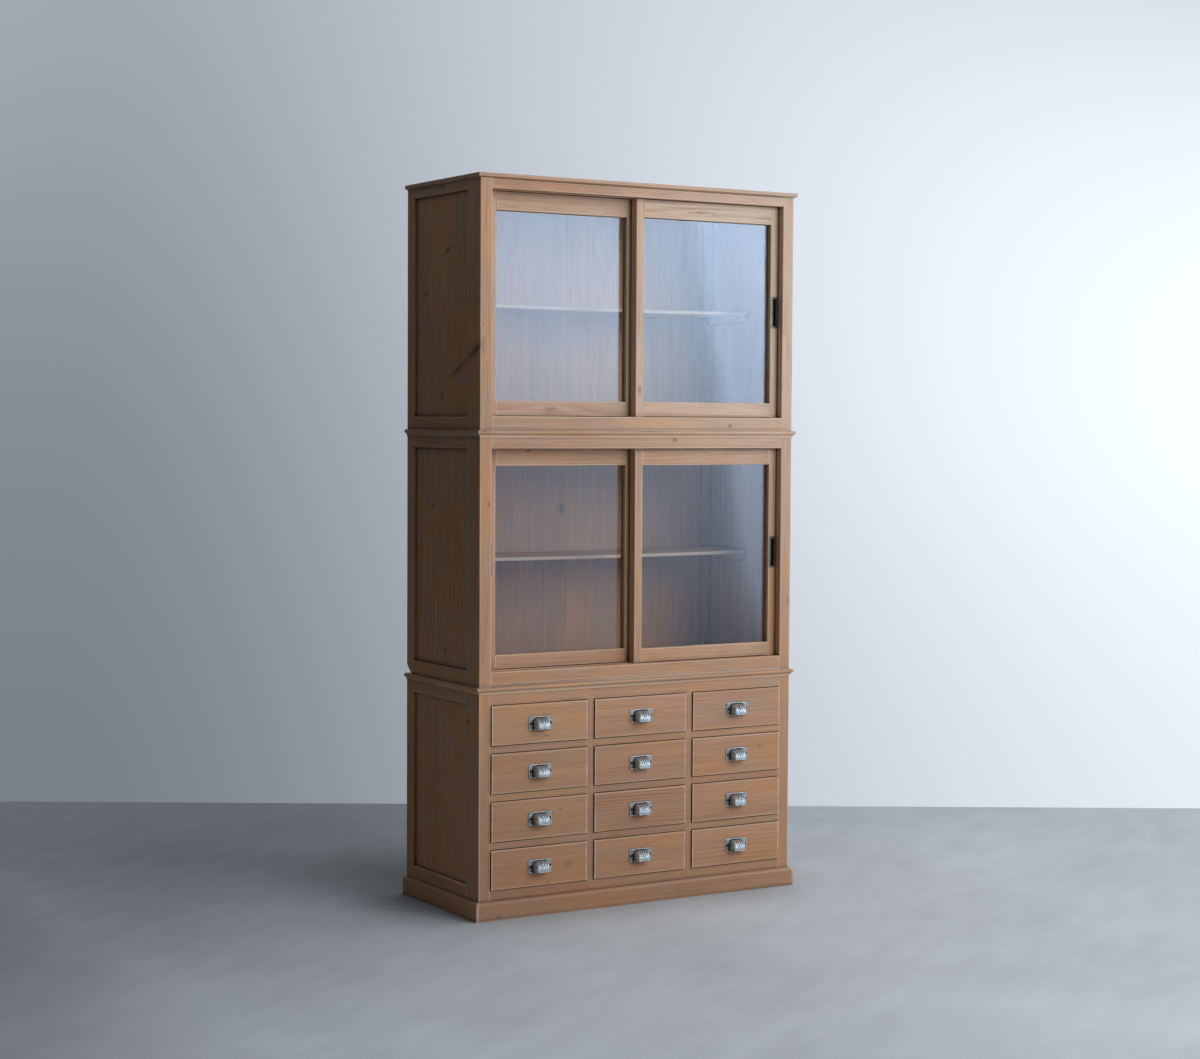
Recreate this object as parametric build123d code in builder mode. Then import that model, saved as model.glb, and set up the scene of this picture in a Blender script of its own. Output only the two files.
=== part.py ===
"""Mizuya kitchen cabinet: three stacked wooden cases, four sliding glazed doors and twelve drawers.

Millimetres. +X to the right as one faces the cabinet, +Y to the back, +Z up. The origin is on the
floor, in the middle of the overall width and depth.
"""
import os
from build123d import *

os.makedirs("parts", exist_ok=True)

# Overall sizes
body_width = 910.0  # across the corner posts
body_depth = 387.0  # front of the front posts to back of the rear posts
lower_case_height = 563.0
middle_case_height = 615.0
upper_case_height = 609.0

# Clearances
joint_play = 0.1  # glue line between two fixed members
panel_play = 0.15  # around a loose panel in its groove
slide_play = 0.3  # between a drawer or door and what carries it
drawer_gap = 1.0  # around a drawer front
door_side_play = 0.5  # between a closed door and its post

# Frame members
post_width = 32.0
front_post_depth = 64.0
rear_post_depth = 36.0
rail_thickness = 22.0
edge_ease = 1.0  # small chamfer along the long edges
tenon_length = 14.0
tenon_thickness = 10.0
tenon_shoulder = 5.0
short_tenon_length = 8.0  # where two rails meet in one slim stile
lower_bottom_rail_height = 64.0
lower_bottom_rail_lift = 14.0  # daylight under the rail, behind the plinth
lower_top_rail_height = 35.5
middle_bottom_rail_height = 35.0
middle_top_rail_height = 34.5
upper_bottom_rail_height = 32.0
upper_top_rail_height = 23.0
foot_cut_depth = 30.0  # relieved back corner of the middle case
foot_cut_height = 25.0
foot_cut_radius = 60.0

# Panels and boards
panel_thickness = 6.0
panel_setback = 8.0  # face of a panel behind the face of its frame
panel_groove = 6.0
back_board_count = 4
floor_thickness = 5.5
top_board_thickness = 12.0
top_board_edge = 8.0  # upright part of the board's edge
top_board_overhang = 7.6
cornice_board_thickness = 9.5
cornice_overhang = 8.0
cornice_nose = 4.0
cove_height = 7.5
cove_projection = 4.5
cove_foot = 1.2

# Plinth
plinth_height = 46.0
plinth_thickness = 10.4
plinth_nose = 8.5
plinth_toe = 2.0

# Shelves
shelf_thickness = 8.5
shelf_setback = 176.0
upper_shelf_height = 303.0  # underside above the case's bottom
middle_shelf_height = 291.0
batten_height = 15.0
batten_width = 12.0

# Door tracks
door_rail_depth = 84.0
upper_sill_height = 28.5
middle_sill_height = 30.5
upper_head_height = 23.0
middle_head_height = 34.5
head_groove_depth = 12.0
sill_groove_depth = 4.0
door_rail_tenon_setback = 32.0  # middle of the tenon behind the face of the post

# Doors
door_setback = 22.0  # front door's face behind the face of the posts
door_thickness = 24.0
door_pitch = 29.0  # from the front track to the rear track
door_overlap = 12.0
door_shoulder = 1.0  # daylight above and below the door's body
tongue_thickness = 12.0
meeting_stile = 22.0
front_outer_stile = 22.0
rear_outer_stile = 38.0
upper_door_bottom_rail = 36.5
upper_door_top_rail = 45.0
middle_door_bottom_rail = 34.0
middle_door_top_rail = 41.0
glass_thickness = 3.0
glass_setback = 12.0  # glass behind the door's face
glass_rebate = 6.0
bead_depth = 7.0

# Finger pulls
finger_pull_width = 18.0
finger_pull_height = 80.0
finger_recess_width = 11.0
finger_recess_height = 70.0
finger_recess_depth = 6.2
finger_plate_thickness = 0.8
finger_wall = 1.0
finger_corner = 3.0
pin_radius = 0.8
pin_head_radius = 1.5
pin_head_height = 0.5
pin_length = 7.0

# Drawer frame
drawer_columns = 3
drawer_rows = 4
drawer_stile_width = 20.0
drawer_rail_height = 18.0
front_frame_depth = 40.0
front_bottom_rail_top = 71.0
front_top_rail_height = 34.5
runner_seat = 18.0  # how far a runner reaches under a drawer
guide_height = 15.0

# Drawers
drawer_proud = 4.0
drawer_front_thickness = 20.0
drawer_front_ease = 1.6
drawer_side_thickness = 9.0
drawer_side_lap = 10.0
drawer_side_drop = 8.0  # top of the sides below the top of the front
drawer_back_drop = 4.0  # top of the back below the top of the sides
drawer_bottom_thickness = 5.0
drawer_bottom_lift = 6.0
drawer_groove = 4.0
drawer_back_gap = 1.0  # closed drawer to the rear rails
drawer_back_inset = 8.0  # the back stands in from the ends of the sides

# Cup pulls
cup_plate_width = 65.0
cup_plate_height = 33.0
cup_plate_thickness = 1.6
cup_plate_corner = 3.0
cup_width = 44.0
cup_reach = 21.0  # from the drawer front to the nose of the cup
cup_top = 12.5
cup_bottom = -13.5
cup_shoulder = -6.0  # height where the curve turns straight down
cup_wall = 1.6
cup_corner = 7.0
screw_spacing = 54.0
screw_radius = 1.6
screw_hole_play = 0.2
screw_head_radius = 3.0
screw_head_height = 1.3
screw_length = 13.0

# Places worked out from the sizes
front_reach = drawer_proud + cup_reach
front_y = (front_reach - body_depth) / 2
back_y = front_y + body_depth
half_width = body_width / 2
opening_half = half_width - post_width
front_post_back = front_y + front_post_depth
rear_post_front = back_y - rear_post_depth
panel_outer = half_width - panel_setback
panel_inner = panel_outer - panel_thickness
rail_inner = half_width - rail_thickness
back_board_back = back_y - panel_setback
back_board_front = back_board_back - panel_thickness
middle_bottom = lower_case_height
upper_bottom = middle_bottom + middle_case_height
overall_height = upper_bottom + upper_case_height


class Case:
    """Levels of one of the three cases."""

    def __init__(self, name, bottom, height, top_board, low_rail, high_rail, lift=0.0, floor=0.0):
        self.name = name
        self.bottom = bottom
        self.post_top = bottom + height - top_board
        self.low_rail_bottom = bottom + lift
        self.low_rail_top = bottom + lift + low_rail
        self.high_rail_bottom = self.post_top - high_rail
        self.floor_top = bottom + floor


lower = Case("lower", 0.0, lower_case_height, cornice_board_thickness,
             lower_bottom_rail_height, lower_top_rail_height, lift=lower_bottom_rail_lift)
middle = Case("middle", middle_bottom, middle_case_height, cornice_board_thickness,
              middle_bottom_rail_height, middle_top_rail_height, floor=floor_thickness)
upper = Case("upper", upper_bottom, upper_case_height, top_board_thickness,
             upper_bottom_rail_height, upper_top_rail_height, floor=floor_thickness)
cases = (lower, middle, upper)


def block(low, high, grow=0.0, mode=Mode.ADD):
    """A plain box between two corners, grown on every side when it cuts a seat."""
    size = [b - a + 2 * grow for a, b in zip(low, high)]
    centre = tuple((a + b) / 2 for a, b in zip(low, high))
    with Locations(centre):
        Box(*size, mode=mode)


def beam(low, high, along, ease=edge_ease):
    """A straight member between two corners, with its long edges eased."""
    (x0, y0, z0), (x1, y1, z1) = low, high
    x, y, z = (x0 + x1) / 2, (y0 + y1) / 2, (z0 + z1) / 2
    if along == "x":
        end = Plane(origin=(x0, y, z), x_dir=(0, 1, 0), z_dir=(1, 0, 0))
        wide, tall, length = y1 - y0, z1 - z0, x1 - x0
    elif along == "y":
        end = Plane(origin=(x, y0, z), x_dir=(0, 0, 1), z_dir=(0, 1, 0))
        wide, tall, length = z1 - z0, x1 - x0, y1 - y0
    else:
        end = Plane(origin=(x, y, z0), x_dir=(1, 0, 0), z_dir=(0, 0, 1))
        wide, tall, length = x1 - x0, y1 - y0, z1 - z0
    with BuildSketch(end) as section:
        Rectangle(wide, tall)
        chamfer(section.vertices(), ease)
    extrude(section.sketch, amount=length)


class Rail:
    """A straight member with a stub tenon on each end."""

    def __init__(self, low, high, along, tenon=None, tenon_y=None):
        self.low = low
        self.high = high
        self.along = along
        self.tenon = tenon_length if tenon is None else tenon
        self.tenon_y = tenon_y

    def tenons(self):
        """The two tenons, each as a low and a high corner."""
        run = "xyz".index(self.along)
        thin = 0 if self.along == "y" else 1
        broad = 3 - run - thin
        low, high = list(self.low), list(self.high)
        middle = (low[thin] + high[thin]) / 2 if self.tenon_y is None else self.tenon_y
        low[thin], high[thin] = middle - tenon_thickness / 2, middle + tenon_thickness / 2
        low[broad] += tenon_shoulder
        high[broad] -= tenon_shoulder
        boxes = []
        for start, end in ((self.low[run] - self.tenon, self.low[run]),
                           (self.high[run], self.high[run] + self.tenon)):
            low[run], high[run] = start, end
            boxes.append((tuple(low), tuple(high)))
        return boxes

    def add(self):
        """Add the member and its tenons to the part being built."""
        beam(self.low, self.high, self.along)
        for low, high in self.tenons():
            block(low, high)

    def cut_mortises(self):
        """Cut its two mortises in the part being built."""
        for low, high in self.tenons():
            block(low, high, grow=joint_play, mode=Mode.SUBTRACT)


# Side and rear rails, panels and back boards of each case
def side_rails(case):
    """Top and bottom rail of both sides."""
    rails = []
    for side in (-1, 1):
        low_x, high_x = sorted((side * rail_inner, side * half_width))
        for bottom, top in ((case.low_rail_bottom, case.low_rail_top),
                            (case.high_rail_bottom, case.post_top)):
            rails.append(Rail((low_x, front_post_back + joint_play, bottom),
                              (high_x, rear_post_front - joint_play, top), "y"))
    return rails


def rear_rails(case):
    """Top and bottom rail across the back; the bottom one stands on the floor board."""
    low_bottom = case.low_rail_bottom
    if case.floor_top > case.bottom:
        low_bottom = case.floor_top + joint_play
    reach = opening_half - joint_play
    return [Rail((-reach, back_y - rail_thickness, bottom), (reach, back_y, top), "x")
            for bottom, top in ((low_bottom, case.low_rail_top), (case.high_rail_bottom, case.post_top))]


def side_panel_box(case, side):
    """Corners of a side panel, edges in their grooves."""
    low_x, high_x = sorted((side * panel_inner, side * panel_outer))
    reach = panel_groove - panel_play
    return ((low_x, front_post_back - reach, case.low_rail_top - reach),
            (high_x, rear_post_front + reach, case.high_rail_bottom + reach))


def back_box(case):
    """Corners of the whole back, edges in their grooves."""
    reach = panel_groove - panel_play
    return ((-opening_half - reach, back_board_front, case.low_rail_top - reach),
            (opening_half + reach, back_board_back, case.high_rail_bottom + reach))


def cut_panel_grooves(case):
    """Cut the grooves of both side panels and the back in the part being built."""
    for side in (-1, 1):
        block(*side_panel_box(case, side), grow=panel_play, mode=Mode.SUBTRACT)
    block(*back_box(case), grow=panel_play, mode=Mode.SUBTRACT)


# Door rails: a head and a sill with two grooves each
class DoorSet:
    """Levels of a pair of sliding doors and the rails they run in."""

    def __init__(self, case, sill_height, head_height, bottom_rail, top_rail, shelf_height):
        self.case = case
        self.sill_bottom = case.floor_top + joint_play
        self.sill_top = case.floor_top + sill_height
        self.head_bottom = case.post_top - head_height
        self.body_bottom = self.sill_top + door_shoulder
        self.body_top = self.head_bottom - door_shoulder
        self.tongue_bottom = self.sill_top - sill_groove_depth + slide_play
        self.tongue_top = self.head_bottom + head_groove_depth - sill_groove_depth - door_shoulder
        self.glass_bottom = self.body_bottom + bottom_rail
        self.glass_top = self.body_top - top_rail
        self.shelf_bottom = case.bottom + shelf_height

    def rails(self):
        """The sill and the head."""
        reach = opening_half - joint_play
        tenon_y = front_y + door_rail_tenon_setback
        levels = ((self.sill_bottom, self.sill_top), (self.head_bottom, self.case.post_top))
        return [Rail((-reach, front_y, bottom), (reach, front_y + door_rail_depth, top), "x",
                     tenon_y=tenon_y) for bottom, top in levels]


middle_doors = DoorSet(middle, middle_sill_height, middle_head_height,
                       middle_door_bottom_rail, middle_door_top_rail, middle_shelf_height)
upper_doors = DoorSet(upper, upper_sill_height, upper_head_height,
                      upper_door_bottom_rail, upper_door_top_rail, upper_shelf_height)
door_sets = (middle_doors, upper_doors)
front_track = front_y + door_setback + door_thickness / 2
tracks = (front_track, front_track + door_pitch)

# Front frame of the lower case
drawer_opening_width = (2 * opening_half - (drawer_columns - 1) * drawer_stile_width) / drawer_columns
drawer_pitch_x = drawer_opening_width + drawer_stile_width
front_top_rail_bottom = lower.post_top - front_top_rail_height
drawer_pitch_z = (front_top_rail_bottom + drawer_rail_height - front_bottom_rail_top) / drawer_rows
drawer_opening_height = drawer_pitch_z - drawer_rail_height
column_centres = [(i - (drawer_columns - 1) / 2) * drawer_pitch_x for i in range(drawer_columns)]
row_bottoms = [front_bottom_rail_top + (drawer_rows - 1 - i) * drawer_pitch_z for i in range(drawer_rows)]
stile_centres = [x + drawer_pitch_x / 2 for x in column_centres[:-1]]
front_frame_back = front_y + front_frame_depth


def long_front_rails():
    """Bottom and top rail of the drawer frame, from post to post."""
    reach = opening_half - joint_play
    return [Rail((-reach, front_y, bottom), (reach, front_frame_back, top), "x")
            for bottom, top in ((lower_bottom_rail_lift, front_bottom_rail_top),
                                (front_top_rail_bottom, lower.post_top))]


def front_stiles():
    """The stiles between the drawer columns."""
    half = drawer_stile_width / 2
    bottom, top = front_bottom_rail_top + joint_play, front_top_rail_bottom - joint_play
    return [Rail((x - half, front_y, bottom), (x + half, front_frame_back, top), "z")
            for x in stile_centres]


def short_front_rails():
    """The rails between the drawers, row by row."""
    half = drawer_opening_width / 2 - joint_play
    return [Rail((x - half, front_y, bottom - drawer_rail_height), (x + half, front_frame_back, bottom),
                 "x", tenon=short_tenon_length)
            for bottom in row_bottoms[:-1] for x in column_centres]


# Corner posts, mortised for every rail and grooved for the panels
for case in cases:
    rails = side_rails(case) + rear_rails(case)
    if case is lower:
        rails += long_front_rails() + short_front_rails()
    for door_set in door_sets:
        if door_set.case is case:
            rails += door_set.rails()
    with BuildPart() as posts:
        for side in (-1, 1):
            low_x, high_x = sorted((side * opening_half, side * half_width))
            beam((low_x, front_y, case.bottom), (high_x, front_post_back, case.post_top), "z")
            beam((low_x, rear_post_front, case.bottom), (high_x, back_y, case.post_top), "z")
        for rail in rails:
            rail.cut_mortises()
        cut_panel_grooves(case)
        if case is middle:
            with BuildSketch(Plane.YZ.offset(-half_width)):
                with BuildLine():
                    heel = (back_y - foot_cut_depth, case.bottom)
                    top = (back_y, case.bottom + foot_cut_height)
                    Polyline(heel, (back_y, case.bottom), top)
                    RadiusArc(top, heel, foot_cut_radius)
                make_face()
            extrude(amount=body_width, mode=Mode.SUBTRACT)
    posts.part.label = f"{case.name}_posts"
    export_step(posts.part, f"parts/{case.name}_posts.step")

    with BuildPart() as frame_rails:
        for rail in side_rails(case) + rear_rails(case):
            rail.add()
        cut_panel_grooves(case)
    frame_rails.part.label = f"{case.name}_frame_rails"
    export_step(frame_rails.part, f"parts/{case.name}_frame_rails.step")

    with BuildPart() as side_panels:
        for side in (-1, 1):
            block(*side_panel_box(case, side))
    side_panels.part.label = f"{case.name}_side_panels"
    export_step(side_panels.part, f"parts/{case.name}_side_panels.step")

    with BuildPart() as back_boards:
        (x0, y0, z0), (x1, y1, z1) = back_box(case)
        board_width = (x1 - x0) / back_board_count
        for i in range(back_board_count):
            low_x = x0 + i * board_width
            beam((low_x + joint_play, y0, z0), (low_x + board_width - joint_play, y1, z1), "z")
    back_boards.part.label = f"{case.name}_back_boards"
    export_step(back_boards.part, f"parts/{case.name}_back_boards.step")

# Boards: top of the upper case, nosed cornice boards of the other two, and the floors
body_centre_y = (front_y + back_y) / 2


def cove_profile():
    """Hollow moulding under a cornice board, outwards from the frame and up from its foot."""
    with BuildLine() as outline:
        Polyline((joint_play, cove_height), (joint_play, 0), (cove_foot, 0))
        RadiusArc((cove_foot, 0), (cove_projection, cove_height), cove_height)
        Line((cove_projection, cove_height), (joint_play, cove_height))
    make_face(outline.edges())


def plinth_profile():
    """Plinth board with a rounded top edge and a small toe, outwards from the frame."""
    with Locations(((plinth_thickness + joint_play) / 2, plinth_height / 2)):
        board = Rectangle(plinth_thickness - joint_play, plinth_height)
    outer = board.vertices().group_by(Axis.X)[-1].sort_by(Axis.Y)
    fillet(outer[-1], plinth_nose)
    chamfer(outer[0], plinth_toe)


def run_round_front(profile, bottom, height):
    """Sweep a profile round both sides and the front, and part it at the two mitres."""
    with BuildLine() as path:
        Polyline((-half_width, back_y, bottom), (-half_width, front_y, bottom),
                 (half_width, front_y, bottom), (half_width, back_y, bottom))
    start = Plane(origin=(-half_width, back_y, bottom), x_dir=(-1, 0, 0), z_dir=(0, 1, 0))
    with BuildSketch(start) as section:
        profile()
    sweep(section.sketch, path=path.line, transition=Transition.RIGHT)
    for side in (-1, 1):
        corner = (side * half_width, front_y, bottom + height / 2)
        with Locations(Location(corner, (0, 0, side * -45))):
            Box(4 * plinth_thickness, joint_play, height + joint_play, mode=Mode.SUBTRACT)


with BuildPart() as upper_top_board:
    board_bottom = upper.post_top
    edge_bottom = overall_height - top_board_edge
    with BuildSketch(Plane.XY.offset(board_bottom)):
        with Locations((0, body_centre_y)):
            Rectangle(body_width, body_depth)
    with BuildSketch(Plane.XY.offset(edge_bottom)):
        with Locations((0, body_centre_y - top_board_overhang / 2)):
            Rectangle(body_width + 2 * top_board_overhang, body_depth + top_board_overhang)
    loft()
    block((-half_width - top_board_overhang, front_y - top_board_overhang, edge_bottom),
          (half_width + top_board_overhang, back_y, overall_height))
    chamfer(upper_top_board.faces().sort_by(Axis.Z)[-1].edges(), edge_ease)
upper_top_board.part.label = "upper_top_board"
export_step(upper_top_board.part, "parts/upper_top_board.step")

for case in (lower, middle):
    with BuildPart() as cornice:
        board_top = case.post_top + cornice_board_thickness
        block((-half_width - cornice_overhang, front_y - cornice_overhang, case.post_top),
              (half_width + cornice_overhang, back_y, board_top))
        long_edges = cornice.edges().filter_by(Axis.Z, reverse=True)
        fillet(long_edges.filter_by(lambda edge: edge.center().Y < back_y - joint_play), cornice_nose)
        run_round_front(cove_profile, case.post_top - cove_height - joint_play, cove_height)
    cornice.part.label = f"{case.name}_cornice"
    export_step(cornice.part, f"parts/{case.name}_cornice.step")

for case in (middle, upper):
    with BuildPart() as floor_board:
        front_part = opening_half - joint_play
        wide_part = rail_inner - joint_play
        block((-front_part, front_y, case.bottom), (front_part, back_y, case.floor_top))
        block((-wide_part, front_post_back + joint_play, case.bottom),
              (wide_part, rear_post_front - joint_play, case.floor_top))
    floor_board.part.label = f"{case.name}_floor_board"
    export_step(floor_board.part, f"parts/{case.name}_floor_board.step")

with BuildPart() as plinth:
    run_round_front(plinth_profile, 0.0, plinth_height)
plinth.part.label = "plinth"
export_step(plinth.part, "parts/plinth.step")

# Rails with the door grooves, and a half-depth shelf on battens
for door_set in door_sets:
    name = door_set.case.name
    with BuildPart() as door_rails:
        for rail in door_set.rails():
            rail.add()
        for track in tracks:
            half_groove = tongue_thickness / 2 + slide_play
            block((-half_width, track - half_groove, door_set.sill_top - sill_groove_depth),
                  (half_width, track + half_groove, door_set.sill_top), mode=Mode.SUBTRACT)
            block((-half_width, track - half_groove, door_set.head_bottom),
                  (half_width, track + half_groove, door_set.head_bottom + head_groove_depth),
                  mode=Mode.SUBTRACT)
    door_rails.part.label = f"{name}_door_rails"
    export_step(door_rails.part, f"parts/{name}_door_rails.step")

    with BuildPart() as shelf:
        front = front_y + shelf_setback
        bottom, top = door_set.shelf_bottom, door_set.shelf_bottom + shelf_thickness
        wide, narrow = panel_inner - door_side_play, opening_half - door_side_play
        block((-wide, front, bottom), (wide, rear_post_front - joint_play, top))
        block((-narrow, front, bottom), (narrow, back_board_front - joint_play, top))
        for side in (-1, 1):
            low_x, high_x = sorted((side * (panel_inner - joint_play), side * (panel_inner - batten_width)))
            beam((low_x, front + batten_width, bottom - joint_play - batten_height),
                 (high_x, rear_post_front - joint_play, bottom - joint_play), "y")
    shelf.part.label = f"{name}_shelf"
    export_step(shelf.part, f"parts/{name}_shelf.step")

# Front frame of the lower case, and the runners behind it
with BuildPart() as front_frame:
    for rail in long_front_rails():
        rail.add()
    for stile in front_stiles():
        stile.cut_mortises()
    for stile in front_stiles():
        stile.add()
    for rail in short_front_rails():
        rail.cut_mortises()
    for rail in short_front_rails():
        rail.add()
front_frame.part.label = "lower_front_frame"
export_step(front_frame.part, "parts/lower_front_frame.step")

with BuildPart() as runners:
    nose_front = front_frame_back + joint_play
    runner_back = rear_post_front - joint_play
    for bottom in row_bottoms:
        under = bottom - drawer_rail_height
        for x in stile_centres:
            half = drawer_stile_width / 2
            block((x - half - runner_seat, nose_front, under), (x + half + runner_seat, runner_back, bottom))
            block((x - half, nose_front, bottom), (x + half, runner_back, bottom + guide_height))
        for side in (-1, 1):
            seat = side * (opening_half - runner_seat)
            outside = side * (rail_inner - joint_play)
            low_x, high_x = sorted((seat, side * (opening_half - joint_play)))
            block((low_x, nose_front, under), (high_x, runner_back, bottom))
            low_x, high_x = sorted((seat, outside))
            block((low_x, front_post_back + joint_play, under), (high_x, runner_back, bottom))
            low_x, high_x = sorted((side * opening_half, outside))
            block((low_x, front_post_back + joint_play, bottom), (high_x, runner_back, bottom + guide_height))
        reach = opening_half - joint_play
        block((-reach, rear_post_front, under), (reach, back_y - rail_thickness - joint_play, bottom))
runners.part.label = "drawer_runners"
export_step(runners.part, "parts/drawer_runners.step")

# Cup pull, made once at the origin: drawer face at y = 0, plate and cup towards -Y
cup_plane = Plane(origin=(0, -cup_plate_thickness, 0), x_dir=(0, -1, 0), z_dir=(-1, 0, 0))
screw_offsets = (-screw_spacing / 2, screw_spacing / 2)


def bar(radius, length, x, y, z, mode=Mode.ADD):
    """A round bar that starts at (x, y, z) and runs towards the back."""
    with BuildSketch(Plane(origin=(x, y, z), x_dir=(1, 0, 0), z_dir=(0, 1, 0))) as section:
        Circle(radius)
    extrude(section.sketch, amount=length, mode=mode)


def cup_shape(inset, bottom):
    """The cup's outer shape, or its hollow when inset by the wall."""
    reach = cup_reach - cup_plate_thickness - inset
    top = cup_top - inset
    with BuildPart() as shape:
        with BuildSketch(cup_plane):
            with BuildLine():
                EllipticalCenterArc((0, cup_shoulder), reach, top - cup_shoulder, 0, arc_size=90)
                Polyline((0, top), (0, bottom), (reach, bottom), (reach, cup_shoulder))
            make_face()
        extrude(amount=cup_width / 2 - inset, both=True)
        fillet(shape.edges().filter_by(GeomType.ELLIPSE), cup_corner - inset)
    return shape.part


cup_outside = cup_shape(0, cup_bottom)
cup_hollow = cup_shape(cup_wall, cup_bottom - cup_wall)

with BuildPart() as cup_pull:
    with BuildSketch(Plane.XZ):
        RectangleRounded(cup_plate_width, cup_plate_height, cup_plate_corner)
    extrude(amount=cup_plate_thickness)
    add(cup_outside)
    add(cup_hollow, mode=Mode.SUBTRACT)
    for x in screw_offsets:
        bar(screw_radius + screw_hole_play, cup_plate_thickness, x, -cup_plate_thickness, 0,
            mode=Mode.SUBTRACT)
    for x in screw_offsets:
        head_back = -cup_plate_thickness - joint_play
        bar(screw_radius, screw_length, x, head_back, 0)
        bar(screw_head_radius, screw_head_height, x, head_back - screw_head_height, 0)

# Drawers
side_back_y = back_y - rail_thickness - drawer_back_gap
front_face_y = front_y - drawer_proud
front_back_y = front_face_y + drawer_front_thickness
column_names = ("left", "centre", "right")

for row, row_bottom in enumerate(row_bottoms):
    for column, centre_x in enumerate(column_centres):
        name = f"{row + 1}_{column_names[column]}"
        half = drawer_opening_width / 2 - drawer_gap
        front_bottom = row_bottom + drawer_gap
        front_top = row_bottom + drawer_opening_height - drawer_gap
        side_bottom = row_bottom + slide_play
        side_top = front_top - drawer_side_drop
        board_bottom = side_bottom + drawer_bottom_lift
        board_top = board_bottom + drawer_bottom_thickness
        pull_z = (front_bottom + front_top) / 2
        inner_half = half - drawer_side_thickness
        back_face_y = side_back_y - drawer_back_inset
        lap_y = front_back_y - drawer_side_lap
        board = ((centre_x - inner_half - drawer_groove, front_back_y - drawer_groove, board_bottom),
                 (centre_x + inner_half + drawer_groove, side_back_y, board_top))

        with BuildPart() as drawer:
            beam((centre_x - half, front_face_y, front_bottom), (centre_x + half, front_back_y, front_top),
                 "x", ease=drawer_front_ease)
            for side in (-1, 1):
                low_x, high_x = sorted((centre_x + side * (inner_half - joint_play), centre_x + side * half))
                block((low_x, lap_y - joint_play, front_bottom),
                      (high_x, front_back_y, side_top + joint_play), mode=Mode.SUBTRACT)
            for x in screw_offsets:
                bar(screw_radius + joint_play, screw_length, centre_x + x, front_face_y, pull_z,
                    mode=Mode.SUBTRACT)
            block(*board, grow=joint_play, mode=Mode.SUBTRACT)
            for side in (-1, 1):
                low_x, high_x = sorted((centre_x + side * inner_half, centre_x + side * half))
                block((low_x, lap_y, side_bottom), (high_x, side_back_y, side_top))
            back_half = inner_half - joint_play
            block((centre_x - back_half, back_face_y - drawer_side_thickness, board_top + joint_play),
                  (centre_x + back_half, back_face_y, side_top - drawer_back_drop))
            block(*board, grow=joint_play, mode=Mode.SUBTRACT)
            block(*board)
        drawer.part.label = f"drawer_{name}"
        export_step(drawer.part, f"parts/drawer_{name}.step")

        with BuildPart() as pull:
            with Locations((centre_x, front_face_y, pull_z)):
                add(cup_pull.part)
        pull.part.label = f"cup_pull_{name}"
        export_step(pull.part, f"parts/cup_pull_{name}.step")

# Finger pull, made once at the origin: stile face at y = 0, recess towards +Y
pin_offset = (finger_recess_height + finger_pull_height) / 4

tub_width = finger_recess_width + 2 * finger_wall
tub_height = finger_recess_height + 2 * finger_wall
tub_depth = finger_recess_depth + finger_wall

with BuildPart() as finger_pull:
    with BuildSketch(Plane.XZ):
        RectangleRounded(finger_pull_width, finger_pull_height, finger_corner)
    extrude(amount=finger_plate_thickness)
    with BuildSketch(Plane.XZ):
        RectangleRounded(tub_width, tub_height, finger_corner + finger_wall)
    extrude(amount=-tub_depth)
    with BuildSketch(Plane.XZ.offset(finger_plate_thickness)):
        RectangleRounded(finger_recess_width, finger_recess_height, finger_corner)
    extrude(amount=-(finger_recess_depth + finger_plate_thickness), mode=Mode.SUBTRACT)
    for z in (-pin_offset, pin_offset):
        bar(pin_radius + joint_play, finger_plate_thickness, 0, -finger_plate_thickness, z,
            mode=Mode.SUBTRACT)
    for z in (-pin_offset, pin_offset):
        head_back = -finger_plate_thickness - joint_play
        bar(pin_radius, pin_length, 0, head_back, z)
        bar(pin_head_radius, pin_head_height, 0, head_back - pin_head_height, z)

# Doors: the right-hand one of each pair on the front track, the left-hand one on the rear track
door_width = opening_half + door_overlap / 2 - door_side_play
half_tongue = tongue_thickness / 2


class Door:
    """Places of one sliding door."""

    def __init__(self, side, track, outer_stile):
        self.face_y = track - door_thickness / 2
        self.track = track
        self.outer = side * (opening_half - door_side_play)
        self.inner = self.outer - side * door_width
        self.glass_outer = self.outer - side * outer_stile
        self.glass_inner = self.inner + side * meeting_stile
        self.pull_x = (self.outer + self.glass_outer) / 2


doors = {"left": Door(-1, tracks[1], rear_outer_stile), "right": Door(1, tracks[0], front_outer_stile)}

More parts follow.
